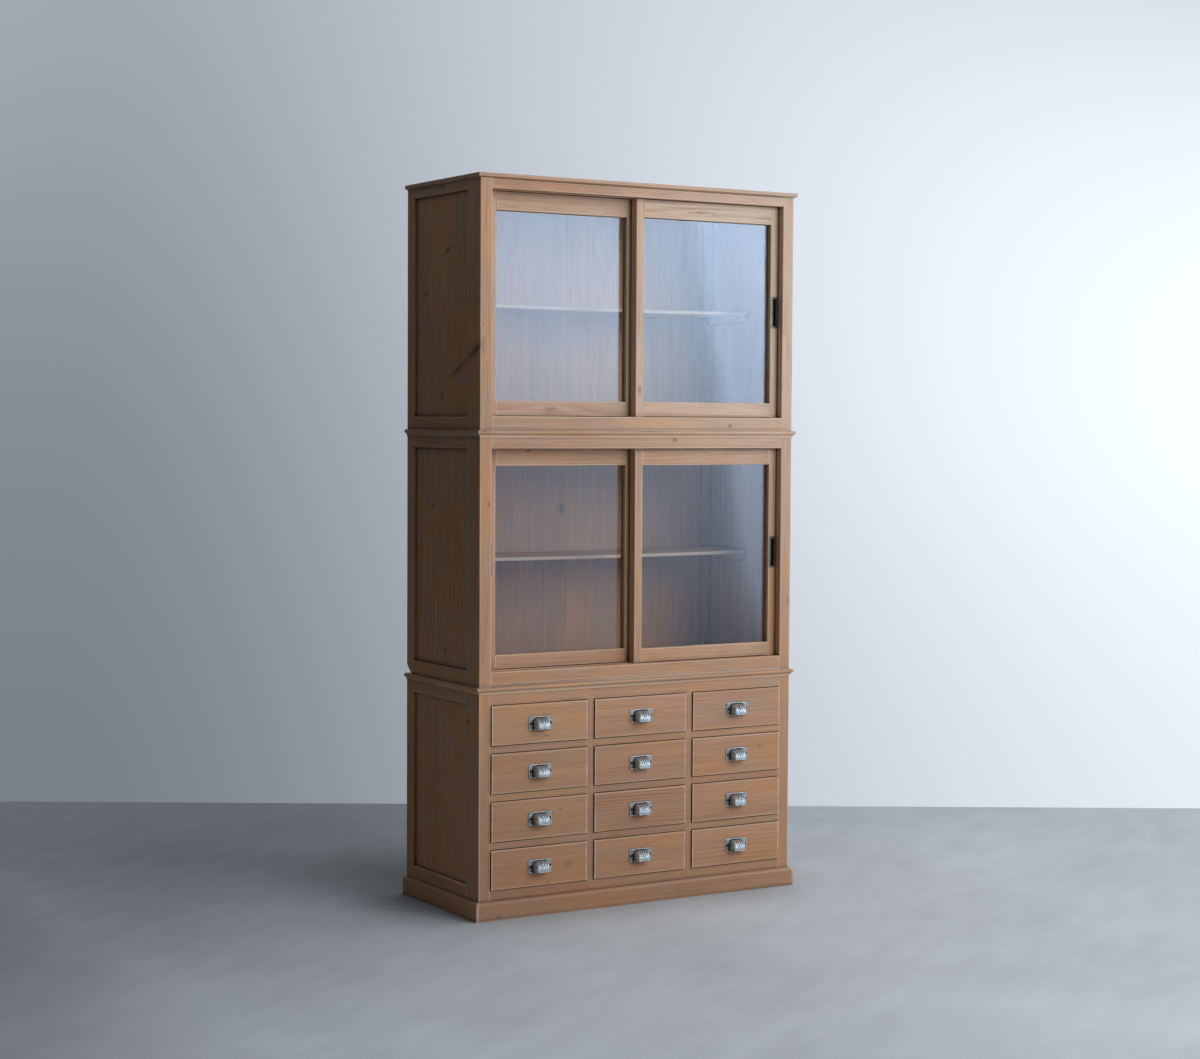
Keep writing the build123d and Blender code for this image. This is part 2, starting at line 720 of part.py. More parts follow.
for door_set in door_sets:
    for side_name, door in doors.items():
        name = f"{door_set.case.name}_{side_name}"
        back = door.face_y + door_thickness
        glass_front = door.face_y + glass_setback
        bead_front = glass_front + glass_thickness + joint_play
        pull_z = (door_set.sill_top + door_set.head_bottom) / 2
        light_low, light_high = sorted((door.glass_inner, door.glass_outer))
        rebate_low, rebate_high = light_low - glass_rebate, light_high + glass_rebate
        rebate_bottom, rebate_top = door_set.glass_bottom - glass_rebate, door_set.glass_top + glass_rebate
        rail_low, rail_high = light_low + joint_play, light_high - joint_play
        rails = [Rail((rail_low, door.face_y, bottom), (rail_high, back, top), "x")
                 for bottom, top in ((door_set.body_bottom, door_set.glass_bottom),
                                     (door_set.glass_top, door_set.body_top))]

        with BuildPart() as door_frame:
            for edge, light in ((door.outer, door.glass_outer), (door.inner, door.glass_inner)):
                low_x, high_x = sorted((edge, light))
                beam((low_x, door.face_y, door_set.body_bottom), (high_x, back, door_set.body_top), "z")
                block((low_x, door.track - half_tongue, door_set.tongue_bottom),
                      (high_x, door.track + half_tongue, door_set.tongue_top))
            for rail in rails:
                rail.cut_mortises()
            for rail in rails:
                rail.add()
            for bottom, top in ((door_set.tongue_bottom, door_set.body_bottom),
                                (door_set.body_top, door_set.tongue_top)):
                block((rail_low, door.track - half_tongue, bottom),
                      (rail_high, door.track + half_tongue, top))
            block((rebate_low, glass_front, rebate_bottom), (rebate_high, back, rebate_top),
                  mode=Mode.SUBTRACT)
            with Locations((door.pull_x, door.face_y, pull_z)):
                Box(tub_width + 2 * joint_play, 2 * (tub_depth + joint_play), tub_height + 2 * joint_play,
                    mode=Mode.SUBTRACT)
            for z in (pull_z - pin_offset, pull_z + pin_offset):
                bar(pin_radius + joint_play, pin_length, door.pull_x, door.face_y, z, mode=Mode.SUBTRACT)
            bead_back = bead_front + bead_depth
            bead_size = glass_rebate - joint_play
            for bottom in (rebate_bottom + joint_play, door_set.glass_top):
                beam((rebate_low + joint_play, bead_front, bottom),
                     (rebate_high - joint_play, bead_back, bottom + bead_size), "x")
            for left in (rebate_low + joint_play, light_high):
                beam((left, bead_front, door_set.glass_bottom + joint_play),
                     (left + bead_size, bead_back, door_set.glass_top - joint_play), "z")
        door_frame.part.label = f"{name}_door"
        export_step(door_frame.part, f"parts/{name}_door.step")

        with BuildPart() as glass:
            block((rebate_low + panel_play, glass_front, rebate_bottom + panel_play),
                  (rebate_high - panel_play, glass_front + glass_thickness, rebate_top - panel_play))
        glass.part.label = f"{name}_glass"
        export_step(glass.part, f"parts/{name}_glass.step")

        with BuildPart() as door_pull:
            with Locations((door.pull_x, door.face_y, pull_z)):
                add(finger_pull.part)
        door_pull.part.label = f"{name}_finger_pull"
        export_step(door_pull.part, f"parts/{name}_finger_pull.step")
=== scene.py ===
"""Looks of a mizuya kitchen cabinet: stripped softwood, glazed sliding doors and cast cup pulls.

The packed frame gives every board its place, in metres, with +X to the right as one faces the cabinet,
+Y to the back and +Z up. The wood, glass and metal are painted on it here, the cup pulls and the shelves
are modelled anew, and a plain studio is set around it.
"""
import math

import bpy
from bpy.props import FloatProperty, FloatVectorProperty, IntProperty, PointerProperty
from mathutils import Matrix, Vector


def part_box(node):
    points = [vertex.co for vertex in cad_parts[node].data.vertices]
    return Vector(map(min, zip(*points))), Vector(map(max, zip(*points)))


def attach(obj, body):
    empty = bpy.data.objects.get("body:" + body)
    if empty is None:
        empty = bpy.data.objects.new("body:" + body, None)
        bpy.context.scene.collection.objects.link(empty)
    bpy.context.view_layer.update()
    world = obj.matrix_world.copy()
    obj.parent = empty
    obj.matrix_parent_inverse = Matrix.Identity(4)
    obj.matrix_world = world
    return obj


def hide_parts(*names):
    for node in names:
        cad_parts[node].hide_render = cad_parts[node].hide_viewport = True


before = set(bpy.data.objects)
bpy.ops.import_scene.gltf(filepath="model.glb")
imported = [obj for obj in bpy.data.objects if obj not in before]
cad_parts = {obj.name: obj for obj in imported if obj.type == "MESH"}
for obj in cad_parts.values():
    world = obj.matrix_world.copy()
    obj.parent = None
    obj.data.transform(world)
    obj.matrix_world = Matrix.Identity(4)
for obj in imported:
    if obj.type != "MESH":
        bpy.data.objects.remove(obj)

bl_info = {
    "name": "Mizuya Kitchen Cabinet",
    "version": (1, 0, 0),
    "blender": (4, 5, 0),
    "location": "3D View > Sidebar > Cabinet",
    "description": "Dresses a stacked kitchen cabinet in stripped wood, old glass and cast metal",
    "category": "Object",
}

CASES = ("lower", "middle", "upper")
GLAZED = ("middle", "upper")
DOORS = [f"{case}_{side}" for case in GLAZED for side in ("left", "right")]
COLUMNS = ("left", "centre", "right")
ROWS = (1, 2, 3, 4)

# Sizes of the frame that its boxes don't tell
BACK_BOARDS = 4
GLASS_EDGE = 0.00585
DRAWER_FRONT = 0.020
REAR_POST_DEPTH = 0.036

# How far the border between two grains lies inside the face that it follows
GRAIN_MARGIN = 0.001

# The wood: how far one board's grain is from the next, how far its growth rings may lean, and the heights,
# widths and depths between which painted shade near the floor, painted light and handling come and go
BOARD_SHIFT = (0.731, 1.173)
RING_LEAN = 0.7
FLOOR_SHADE_HEIGHTS = (0.05, 0.75)
FLOOR_SHADE_ACROSS = (-0.40, 0.60)
PAINTED_LIGHT_HEIGHTS = (0.60, 1.40)
PAINTED_LIGHT_ACROSS = (-0.35, 0.50)
UNHANDLED_DEPTHS = (0.0, 0.10)
# Extra painted light on the upper doors, added to the painted light towards the top and the right
UPPER_DOOR_PAINTED_LIGHT = 0.55
FIGURED_DRAWERS = ("drawer_3_centre", "drawer_3_right", "drawer_4_right", "drawer_4_left")

# Small sizes and angles of the modelled pieces
SHARP_ANGLE = math.radians(35)
SMOOTH_ANGLE = math.radians(40)
SHELF_CUTS = 28
BATTEN_EDGE = 0.001
PLATE_EDGE = 0.00025
PETAL_LEVEL = math.radians(34)
PETAL_FAN = math.radians(12)
PETAL_DEPTH = 0.0024
PETAL_DROP = 0.0004
PETAL_SPACING = 1.22
PETAL_TAPER = 0.12
BOSS_SIZE = (0.0042, 0.0018, 0.0026)
BOSS_HEIGHT = 0.0095
SCREW_TURNS = {-1: 0.5, 1: -0.9}
SCREW_DOME = 0.55
SLOT_LENGTH = 0.02
SLOT_WIDTH = 0.0007
SLOT_DEPTH = 0.0006
SLOT_CLEAR = 0.001

# The studio: the window and the flag are placed from the depth of the cabinet's front
FRONT_DEPTH = -0.2
FLOOR_SIZE = 16.0
WINDOW_SIZE = (3.8, 3.5)
WINDOW_DISTANCE = 4.2
WINDOW_TURN = math.radians(33)
FLAG_SIZE = (1.72, 4.8)
FLAG_MIDDLE = 1.0
LAMP_COLOUR = (0.97, 0.985, 1.0)
LAMP_AIM = Vector((0.0, 0.0, 1.0))

# Knots and stains by node: strength; place along the grain and across it; half length, half thickness
# and, where they differ from the rest, half width and lean
KNOTS = {
    "upper_side_panels": (
        (0.8, 1.6152, -0.447, 0.0018, 0.0055, 0.012, 0.012, -0.45),
        (0.65, 1.5112, -0.447, 0.1196, 0.0045, 0.013),
        (0.6, 1.562, -0.447, 0.145, 0.004, 0.0035),
        (0.85, 1.2581, -0.447, 0.0317, 0.008, 0.004),
        (0.55, 1.33, -0.447, -0.062, 0.0095, 0.062, 0.012, -0.4485)),
    "upper_posts": (
        (0.75, 1.369, -0.455, -0.158, 0.015, 0.05, 0.012, -0.4485),
        (0.4, 1.43, -0.448, -0.181, 0.005, 0.01, 0.0025)),
    "upper_frame_rails": ((0.85, 0.0137, -0.455, 1.7706, 0.009, 0.0045),),
    "upper_door_rails": (
        (0.7, 0.2628, -0.181, 1.1908, 0.005, 0.004),
        (0.6, 0.3334, -0.181, 1.2216, 0.0045, 0.0035)),
    "upper_left_door": ((0.28, -0.2344, -0.13, 1.2301, 0.02, 0.007),),
    "upper_right_door": (
        (0.5, 1.279, 0.0065, -0.159, 0.013, 0.012, 0.0045),
        (0.45, 0.1811, -0.159, 1.7252, 0.02, 0.0025)),
    "middle_cornice": (
        (0.8, -0.448, -0.187, 1.179, 0.011, 0.008),
        (0.35, 0.02, -0.187, 1.178, 0.03, 0.003)),
    "middle_side_panels": (
        (0.7, 0.9914, -0.447, 0.0788, 0.007, 0.006),
        (0.7, 0.6371, -0.447, 0.0122, 0.008, 0.006)),
    "middle_posts": (
        (0.75, 1.0026, -0.43, -0.181, 0.006, 0.012, 0.003),
        (0.45, 0.74, 0.448, -0.181, 0.007, 0.012, 0.003)),
    "middle_door_rails": (
        (0.7, 0.0969, -0.181, 1.1552, 0.006, 0.004),
        (0.75, -0.2659, -0.181, 0.6019, 0.0055, 0.0035)),
    "middle_left_door": ((0.7, -0.2955, -0.13, 1.1278, 0.005, 0.0035),),
    "middle_back_boards": ((0.55, 0.9735, -0.0139, 0.193, 0.02, 0.012, 0.01),),
    "lower_posts": (
        (0.85, 0.4756, -0.455, -0.1247, 0.008, 0.005),
        (0.75, 0.3675, -0.455, 0.1932, 0.011, 0.004)),
    "plinth": (
        (0.75, -0.4045, -0.1914, 0.0087, 0.006, 0.004),
        (0.45, 0.11, -0.1914, 0.022, 0.007, 0.003)),
    "drawer_4_left": (
        (0.6, -0.2653, -0.185, 0.079, 0.005, 0.003),
        (0.3, -0.21, -0.185, 0.118, 0.016, 0.008)),
    "drawer_3_left": ((0.45, -0.23, -0.185, 0.256, 0.005, 0.003),),
    "drawer_1_left": ((0.4, -0.27, -0.185, 0.438, 0.011, 0.003),),
    "drawer_2_right": ((0.35, 0.36, -0.185, 0.37, 0.007, 0.004),),
}


# Shader maths
def as_node(operation, swapped=False):
    """A method that adds one Math node; swapped puts the value itself last."""
    def apply(self, *others):
        return self.maths(operation, *((*others, self) if swapped else (self, *others)))
    return apply


class Value:
    """A node's output that works as a number in an expression."""

    def __init__(self, shader, socket):
        self.shader = shader
        self.socket = socket

    def maths(self, operation, *values, clamp=False):
        """The result of one Math node."""
        settings = {"operation": operation, "use_clamp": clamp}
        return self.shader.node("Math", settings, dict(enumerate(values)))

    __add__, __radd__ = as_node("ADD"), as_node("ADD", swapped=True)
    __sub__, __rsub__ = as_node("SUBTRACT"), as_node("SUBTRACT", swapped=True)
    __mul__, __truediv__, __pow__ = as_node("MULTIPLY"), as_node("DIVIDE"), as_node("POWER")
    __gt__, __lt__ = as_node("GREATER_THAN"), as_node("LESS_THAN")
    __abs__, whole, part = as_node("ABSOLUTE"), as_node("FLOOR"), as_node("FRACT")
    at_least, at_most = as_node("MAXIMUM"), as_node("MINIMUM")

    def clamp(self):
        """The value kept between 0 and 1."""
        return self.maths("ADD", self, 0.0, clamp=True)

    def rise(self, low, high):
        """A soft step from 0 at low to 1 at high."""
        return self.shader.node("MapRange", {"interpolation_type": "SMOOTHSTEP"},
                                {"Value": self, "From Min": low, "From Max": high})

    def blend(self, first, second):
        """From the first number, where this is 0, to the second, where it is 1."""
        return self.shader.node("Mix", {"data_type": "FLOAT"}, {"Factor": self, "A": first, "B": second})

    def tint(self, first, second):
        """From the first colour, where this is 0, to the second, where it is 1."""
        return self.shader.node("Mix", {"data_type": "RGBA"}, {"Factor": self, "A": first, "B": second})


class Shader:
    """A material, or the world, whose nodes are being written."""

    def __init__(self, owner):
        owner.use_nodes = True
        self.owner = owner
        self.tree = owner.node_tree
        self.tree.nodes.clear()

    def node(self, kind, settings=None, inputs=None, output=0):
        """Any node: its settings first, then the values or links of its sockets."""
        made = self.tree.nodes.new("ShaderNode" + kind)
        for name, setting in (settings or {}).items():
            setattr(made, name, setting)
        for name, value in (inputs or {}).items():
            socket = made.inputs[name] if isinstance(name, int) else next(
                s for s in made.inputs if s.name == name and s.enabled)
            if isinstance(value, Value):
                self.tree.links.new(value.socket, socket)
            elif socket.type == "RGBA":
                socket.default_value = (*value[:3], 1.0)
            else:
                socket.default_value = value
        shown = [s for s in made.outputs if s.enabled]
        return Value(self, shown[output] if isinstance(output, int) else made.outputs[output])

    def split(self, kind, whole):
        """The three parts of a vector or of a colour."""
        made = self.node(kind, None, {0: whole})
        return [Value(self, socket) for socket in made.socket.node.outputs]

    def place(self):
        """The object coordinates, as three values."""
        return self.split("SeparateXYZ", self.node("TexCoord", output="Object"))

    def noise(self, place, along, across, detail=2.0, roughness=0.5):
        """Soft noise between 0 and 1 at a place, so many times a metre along it and across it."""
        u, v, w = place
        where = self.node("CombineXYZ", None, {0: u * along, 1: v * across, 2: w * across})
        return self.node("TexNoise", None, {"Vector": where, "Scale": 1.0, "Detail": detail,
                                            "Roughness": roughness})

    def dice(self, board):
        """Three random numbers between 0 and 1 for every board."""
        dots = self.node("TexWhiteNoise", {"noise_dimensions": "1D"}, {"W": board}, output="Color")
        return self.split("SeparateColor", dots)

    def open_air(self, reach, samples=4, inside=False):
        """How open a point is to the air within a reach, 1 where nothing is near; or, from the inside,
        how deep it is in its own piece."""
        return self.node("AmbientOcclusion", {"samples": samples, "inside": inside}, {"Distance": reach},
                         output="AO")

    def dim(self, paint, light):
        """A colour made lighter or darker."""
        return self.node("VectorMath", {"operation": "SCALE"}, {0: paint, "Scale": light})

    def bump(self, height, distance, strength=1.0):
        """A normal from a height between 0 and 1."""
        return self.node("Bump", None, {"Height": height, "Distance": distance, "Strength": strength})

    def surface(self, **sockets):
        """A Principled shader; an underscore in a name stands for a space."""
        return self.node("BsdfPrincipled", None,
                         {name.replace("_", " "): value for name, value in sockets.items()})

    def finish(self, shown):
        """Join a shader to the output."""
        end = "Material" if isinstance(self.owner, bpy.types.Material) else "World"
        output = self.tree.nodes.new("ShaderNodeOutput" + end)
        self.tree.links.new(shown.socket, output.inputs["Surface"])
        return self.owner


# Sizes and colours that a user may change
def setting(kind=FloatProperty, **fixed):
    """A maker of settings of one kind, from their name, description and default."""
    return lambda name, description, default: kind(name=name, description=description, default=default,
                                                   **fixed)


Colour = setting(FloatVectorProperty, subtype="COLOR")
Place = setting(FloatVectorProperty, subtype="XYZ", unit="LENGTH")
Length = setting(unit="LENGTH")
Factor = setting(subtype="FACTOR")
Angle = setting(subtype="ANGLE")
Power = setting(unit="POWER")
Number = setting()


class WoodSettings(bpy.types.PropertyGroup):
    """Colours and figure of the stripped softwood."""

    frame_colour: Colour("Frame", "Posts, rails, cornices and plinth", (0.478, 0.258, 0.124))
    door_colour: Colour("Doors", "Stiles and rails of the doors", (0.535, 0.318, 0.168))
    drawer_colour: Colour("Drawers", "Drawer fronts and boxes", (0.52, 0.277, 0.133))
    panel_colour: Colour("Panels", "Side panels, backs, floors and shelves", (0.47, 0.243, 0.122))
    pink_colour: Colour("Pinkish boards", "Hue of the redder boards", (0.50, 0.262, 0.155))
    ring_colour: Colour("Late wood", "Dark side of a growth ring", (0.25, 0.112, 0.048))
    warm_colour: Colour("Heartwood", "Warm streaks along the grain", (0.55, 0.258, 0.098))
    grey_colour: Colour("Dry wood", "Greyed, dry patches", (0.415, 0.278, 0.178))
    # Worn edges: bare wood on the rubbed edges, which also stands in for a painted highlight along them
    worn_and_highlight_colour: Colour("Worn edges", "Bare wood along rubbed edges", (0.74, 0.53, 0.375))
    # Bare edges: pale bare wood on the shelves' front edges, which is also a painted highlight there
    bare_and_highlight_colour: Colour("Bare edges", "Unfinished front edges of the shelves", (0.60, 0.445, 0.320))
    # Knots: the colour of knots and stains, and also of the painted shade in joints and corners
    knot_and_shade_colour: Colour("Knots", "Knots and deep stains", (0.060, 0.028, 0.016))
    # Soiled and soiling: painted shade that darkens the wood near the floor, less so to the right
    floor_shade_colour: Colour("Soiled", "Wood near the floor", (0.28, 0.122, 0.046))
    floor_shade_strength: Factor("Soiling", "How dark the wood is near the floor", 0.56)
    # Faded and fading: painted light that pales the wood towards the top and the right
    painted_light_colour: Colour("Faded", "Wood that the light has bleached", (0.62, 0.470, 0.340))
    painted_light_strength: Factor("Fading", "How bleached the top right of the cabinet is", 0.62)
    board_variety: Factor("Board variety", "How much redder the reddest boards are", 0.8)
    # Wear and its reach: pale rubbed edges, which are also a painted highlight on every edge
    wear: Factor("Wear", "How pale the rubbed edges are", 0.85)
    wear_and_highlight_reach: Length("Wear reach", "How far wear spreads from an edge", 0.0042)
    ring_spacing: Length("Ring spacing", "From one growth ring to the next", 0.0055)
    ring_strength: Factor("Ring strength", "How far late wood darkens the board", 0.42)
    fibre_width: Length("Fibre width", "Width of the finest streaks", 0.0022)
    # Dirt and its reach: grime in the joints and corners, which is also painted shade there
    dirt_and_shade: Factor("Dirt", "Grime in the joints and corners", 0.92)
    dirt_and_shade_reach: Length("Dirt reach", "How far grime spreads from a joint", 0.010)


class MetalSettings(bpy.types.PropertyGroup):
    """Colours of the pulls and screws."""

    iron_colour: Colour("Cast metal", "Rubbed parts of the cup pulls", (0.60, 0.565, 0.505))
    patina_colour: Colour("Patina", "Hollows of the cup pulls", (0.036, 0.038, 0.042))
    screw_colour: Colour("Screws", "Heads of the screws", (0.050, 0.047, 0.045))
    brass_colour: Colour("Finger pulls", "Tarnished rims of the finger pulls", (0.23, 0.175, 0.105))


class GlassSettings(bpy.types.PropertyGroup):
    """The panes."""

    glass_tint: Colour("Tint", "What the pane lets through", (0.93, 0.95, 0.95))
    gloss: Factor("Gloss", "Share of light that one face mirrors head on", 0.045)
    ripple: Length("Ripple", "Waviness of the old drawn glass", 0.0006)


class CupPullSettings(bpy.types.PropertyGroup):
    """Sizes of the modelled cup pull; its plate fills the frame's plate."""

    plate_thickness: Length("Plate", "Thickness of the plate", 0.0016)
    plate_corner: Length("Corner", "Radius of the plate's corners", 0.0032)
    plate_rim: Length("Rim", "Width of the raised rim", 0.0018)
    plate_sink: Length("Sink", "Depth of the plate's field under its rim", 0.0006)
    cup_width: Length("Cup width", "Across the cup", 0.044)
    cup_top: Length("Cup top", "Top of the cup above the middle of the plate", 0.0125)
    cup_bottom: Length("Cup lip", "Lip of the cup below the middle of the plate", 0.0135)
    cup_shoulder: Length("Shoulder", "Where the curve turns straight, below the middle", 0.006)
    cup_round: Length("Rounding", "Radius of the cup's ends", 0.0085)
    cup_wall: Length("Wall", "Thickness of the casting", 0.0016)
    lip_radius: Length("Lip bead", "Radius of the rolled lip", 0.0011)
    petal_length: Length("Petal", "Length of a raised petal on the cup", 0.0150)
    petal_width: Length("Petal width", "Width of a raised petal", 0.0056)
    petals: IntProperty(name="Petals", description="Raised petals on the cup", default=5, min=1)
    screw_spacing: Length("Screw spacing", "From one screw to the other", 0.054)
    screw_radius: Length("Screw head", "Radius of a screw's head", 0.003)
    screw_height: Length("Screw height", "Height of a screw's head", 0.0013)


class ShelfSettings(bpy.types.PropertyGroup):
    """The inner shelves."""

    upper_sag: Length("Upper sag", "How far the upper shelf sags in the middle", 0.0028)
    middle_sag: Length("Middle sag", "How far the middle shelf sags in the middle", 0.002)
    thickness: Length("Shelf", "Thickness of a shelf board", 0.0085)
    batten_width: Length("Batten", "Width of the battens under a shelf", 0.012)
    worn_edge: Length("Worn edge", "Rounding of the shelf's long edges", 0.0016)


class StudioSettings(bpy.types.PropertyGroup):
    """Camera, floor and light."""

    lens: Number("Lens", "Focal length on a 36 mm wide sensor", 68.854)
    camera_place: Place("Camera", "Where the camera stands", (-3.03295, -4.99329, 1.20318))
    turn: Angle("Turn", "Camera's turn from +Y towards +X", math.radians(31.182))
    dip: Angle("Dip", "Camera's dip below the horizon", math.radians(2.723))
    roll: Angle("Roll", "Camera's roll", math.radians(0.332))
    floor_end: Length("Floor end", "From the camera to the far edge of the floor", 7.14)
    floor_colour: Colour("Floor", "Pale grey floor", (0.545, 0.570, 0.585))
    wall_bright: Colour("Wall, lit side", "Backdrop on the side of the window", (1.07, 1.14, 1.25))
    wall_dim: Colour("Wall, dim side", "Backdrop away from the window", (0.237, 0.263, 0.300))
    room_dark: Colour("Room", "Dark end of the room", (0.150, 0.160, 0.172))
    window_colour: Colour("Window", "Daylight that the panes mirror", (0.57, 0.74, 1.0))
    window_light: Number("Window light", "Brightness of the window's upper part", 6.9)
    flag_place: Length("Flag", "Where the black card stands, along X", -1.3)
    key_light: Power("Key light", "Power of the soft front light", 54.0)
    side_light: Power("Side light", "Power of the soft side light", 18.0)


SETTINGS = {"cabinet_wood": WoodSettings, "cabinet_metal": MetalSettings, "cabinet_glass": GlassSettings,
            "cabinet_cup_pull": CupPullSettings, "cabinet_shelf": ShelfSettings,
            "cabinet_studio": StudioSettings}


# Finishes
def knot_distance(shader, grain, along, across, depth, length, thickness, width=0.012, lean=0.0):
    """How far a point is from a knot's heart, 1 at its ragged rim."""
    u, v, w = grain
    far_u = (u - along - (w - depth) * lean) / length
    far_v = (v - across) / width
    far_w = (w - depth) / thickness
    ragged = shader.noise(grain, 90.0, 160.0)
    return (far_u * far_u + far_v * far_v + far_w * far_w) ** 0.5 + (ragged - 0.5) * 0.9


def growth_rings(shader, grain, own, leans, knots):
    """The dark late wood of the growth rings, which bend round the knots."""
    _, v, w = grain
    sway = shader.noise(own, 0.9, 5.0, detail=1.5) * 8.0 + shader.noise(own, 0.5, 26.0, detail=1.0) * 2.2
    for distance, strength in knots:
        sway = sway + (1.0 - distance.rise(0.6, 3.2)) * 1.6 * strength
    lean_v, lean_w = [share * (2 * RING_LEAN) - RING_LEAN for share in leans]
    spacing = bpy.context.scene.cabinet_wood.ring_spacing
    rings = ((v * lean_v + w * lean_w) / spacing + sway).part()
    return rings.rise(0.25, 0.88) * (1.0 - rings.rise(0.88, 1.0))


def painted_shade_and_light(paint, x, z, cloud, added_painted_light):
    """Paint shade on the wood near the floor, and paint light on it towards the top and the right."""
    tone = bpy.context.scene.cabinet_wood
    # Painted shade: darker towards the floor, less so to the right
    floor_shade_mask = (1.0 - z.rise(*FLOOR_SHADE_HEIGHTS)) * (1.0 - x.rise(*FLOOR_SHADE_ACROSS) * 0.45)
    paint = (floor_shade_mask * tone.floor_shade_strength).tint(paint, tone.floor_shade_colour)
    # Painted light: paler towards the top and the right, and more so on the upper doors
    painted_light_mask = (z.rise(*PAINTED_LIGHT_HEIGHTS) * (0.10 + x.rise(*PAINTED_LIGHT_ACROSS) * 0.90) + added_painted_light) * (
        0.75 + cloud * 0.5)
    return (painted_light_mask * tone.painted_light_strength).clamp().tint(paint, tone.painted_light_colour)


def grime_wear_and_painted_light(shader, paint, y, patch, streak, grime_and_shade_scale, rubbed):
    """Put grime and painted shade in the joints, and pale wear that is also a painted highlight on the
    edges.
    """
    tone = bpy.context.scene.cabinet_wood
    open_air = shader.open_air(tone.dirt_and_shade_reach)
    # Grime and painted shade wherever other wood is near: in joints, gaps and corners
    grime_and_shade = (1.0 - open_air.rise(0.45, 0.95)) * (0.75 + patch * 0.7) * tone.dirt_and_shade * grime_and_shade_scale
    paint = grime_and_shade.clamp().tint(paint, tone.knot_and_shade_colour)
    # Wear and painted highlight: pale wood along every convex edge
    edge = 1.0 - shader.open_air(tone.wear_and_highlight_reach, inside=True).rise(0.55, 1.0)
    handled = 1.0 - y.rise(*UNHANDLED_DEPTHS) * 0.7
    wear = edge * (0.45 + open_air * 0.55) * (0.55 + streak.rise(0.35, 0.60) * 0.75) * handled * (
        tone.wear * rubbed)
    return wear.clamp().tint(paint, tone.worn_and_highlight_colour)


def finish_wood(node, colour, along, turned_along=None, turned=None, board=None, seed=0.0, added_painted_light=0.0,
                figure=0.8, bare_and_highlight_front=None, grime_and_shade_scale=1.0, rubbed=1.0):
    """Finish a node, or a piece, in stripped softwood. Its grain runs along one axis, or along another
    where turned says so; board numbers the boards that it is made of. Figure says how strongly the
    growth rings show; bleach adds to the painted light, grimy scales the grime and painted shade in the
    joints, and rubbed the wear and painted highlight on the edges; wood in front of bare_and_highlight_front
    has no finish on it and is paled, which is also a painted highlight."""
    tone = bpy.context.scene.cabinet_wood
    shader = Shader(bpy.data.materials.new(f"{node}_wood"))
    x, y, z = shader.place()
    ways = {"x": (x, y, z), "y": (y, x, z), "z": (z, x, y)}
    grain = ways[along]
    if turned:
        mask = turned(x, y, z)
        grain = [mask.blend(first, second) for first, second in zip(grain, ways[turned_along])]
    u, v, w = grain
    number = seed if board is None else board(x, y, z) + seed
    first, second, third = shader.dice(number)
    knots = [(knot_distance(shader, grain, *knot), strength) for strength, *knot in KNOTS.get(node, ())]

    own = (u + number * BOARD_SHIFT[0], v + number * BOARD_SHIFT[1], w)
    late = growth_rings(shader, grain, own, (first, second), knots)
    faint = shader.noise(own, 2.5, 16.0, detail=1.0).rise(0.35, 0.75)
    fibre = shader.noise(own, 14.0, 1.0 / tone.fibre_width)
    streak = shader.noise(own, 1.3, 48.0, detail=4.0, roughness=0.65)
    crisp = shader.noise(own, 7.0, 190.0, detail=3.0, roughness=0.7)
    band = shader.noise(own, 2.6, 13.0)
    patch = shader.noise(own, 7.0, 19.0, detail=3.0)
    cloud = shader.noise(own, 3.0, 6.0)
    pore = shader.noise(own, 34.0, 620.0, detail=1.0)

    paint = (third * tone.board_variety).tint(colour, tone.pink_colour)
    paint = (band.rise(0.42, 0.64) * 0.85).tint(paint, tone.warm_colour)
    paint = (patch.rise(0.46, 0.68) * 0.62).tint(paint, tone.grey_colour)
    # Painted shade near the floor and painted light towards the top and the right
    paint = painted_shade_and_light(paint, x, z, cloud, added_painted_light)
    ringed = late * (faint * 0.8 + 0.2) * (third * 0.6 + 0.4) * figure * tone.ring_strength
    paint = ringed.tint(paint, tone.ring_colour)
    paint = (crisp.rise(0.50, 0.72) * 0.50).tint(paint, tone.ring_colour)
    paint = (pore.rise(0.60, 0.78) * 0.20).tint(paint, tone.knot_and_shade_colour)
    light = 0.50 + fibre * 0.20 + streak * 0.42 + crisp * 0.24 + cloud * 0.20 + second * 0.12
    paint = shader.dim(paint, light)
    for distance, strength in knots:
        paint = ((1.0 - distance.rise(0.9, 2.2)) * strength * 0.35).tint(paint, tone.ring_colour)
        paint = ((1.0 - distance.rise(0.25, 1.0)) * strength).tint(paint, tone.knot_and_shade_colour)
    # Shelf front edges: pale bare wood, and a painted highlight
    if bare_and_highlight_front is not None:
        paint = ((y < bare_and_highlight_front) * 0.85).tint(paint, tone.bare_and_highlight_colour)
    # Grime and painted shade in the joints; wear and painted highlight on the edges
    paint = grime_wear_and_painted_light(shader, paint, y, patch, streak, grime_and_shade_scale, rubbed)

    height = fibre * 0.4 + late * 0.3 + crisp * 0.5
    normal = shader.bump(height, 0.0006, 0.7)
    shown = shader.surface(Base_Color=paint, Roughness=0.52 + fibre * 0.18 + patch * 0.10, Normal=normal,
                           Specular_IOR_Level=0.45)
    dress(node, shader.finish(shown))


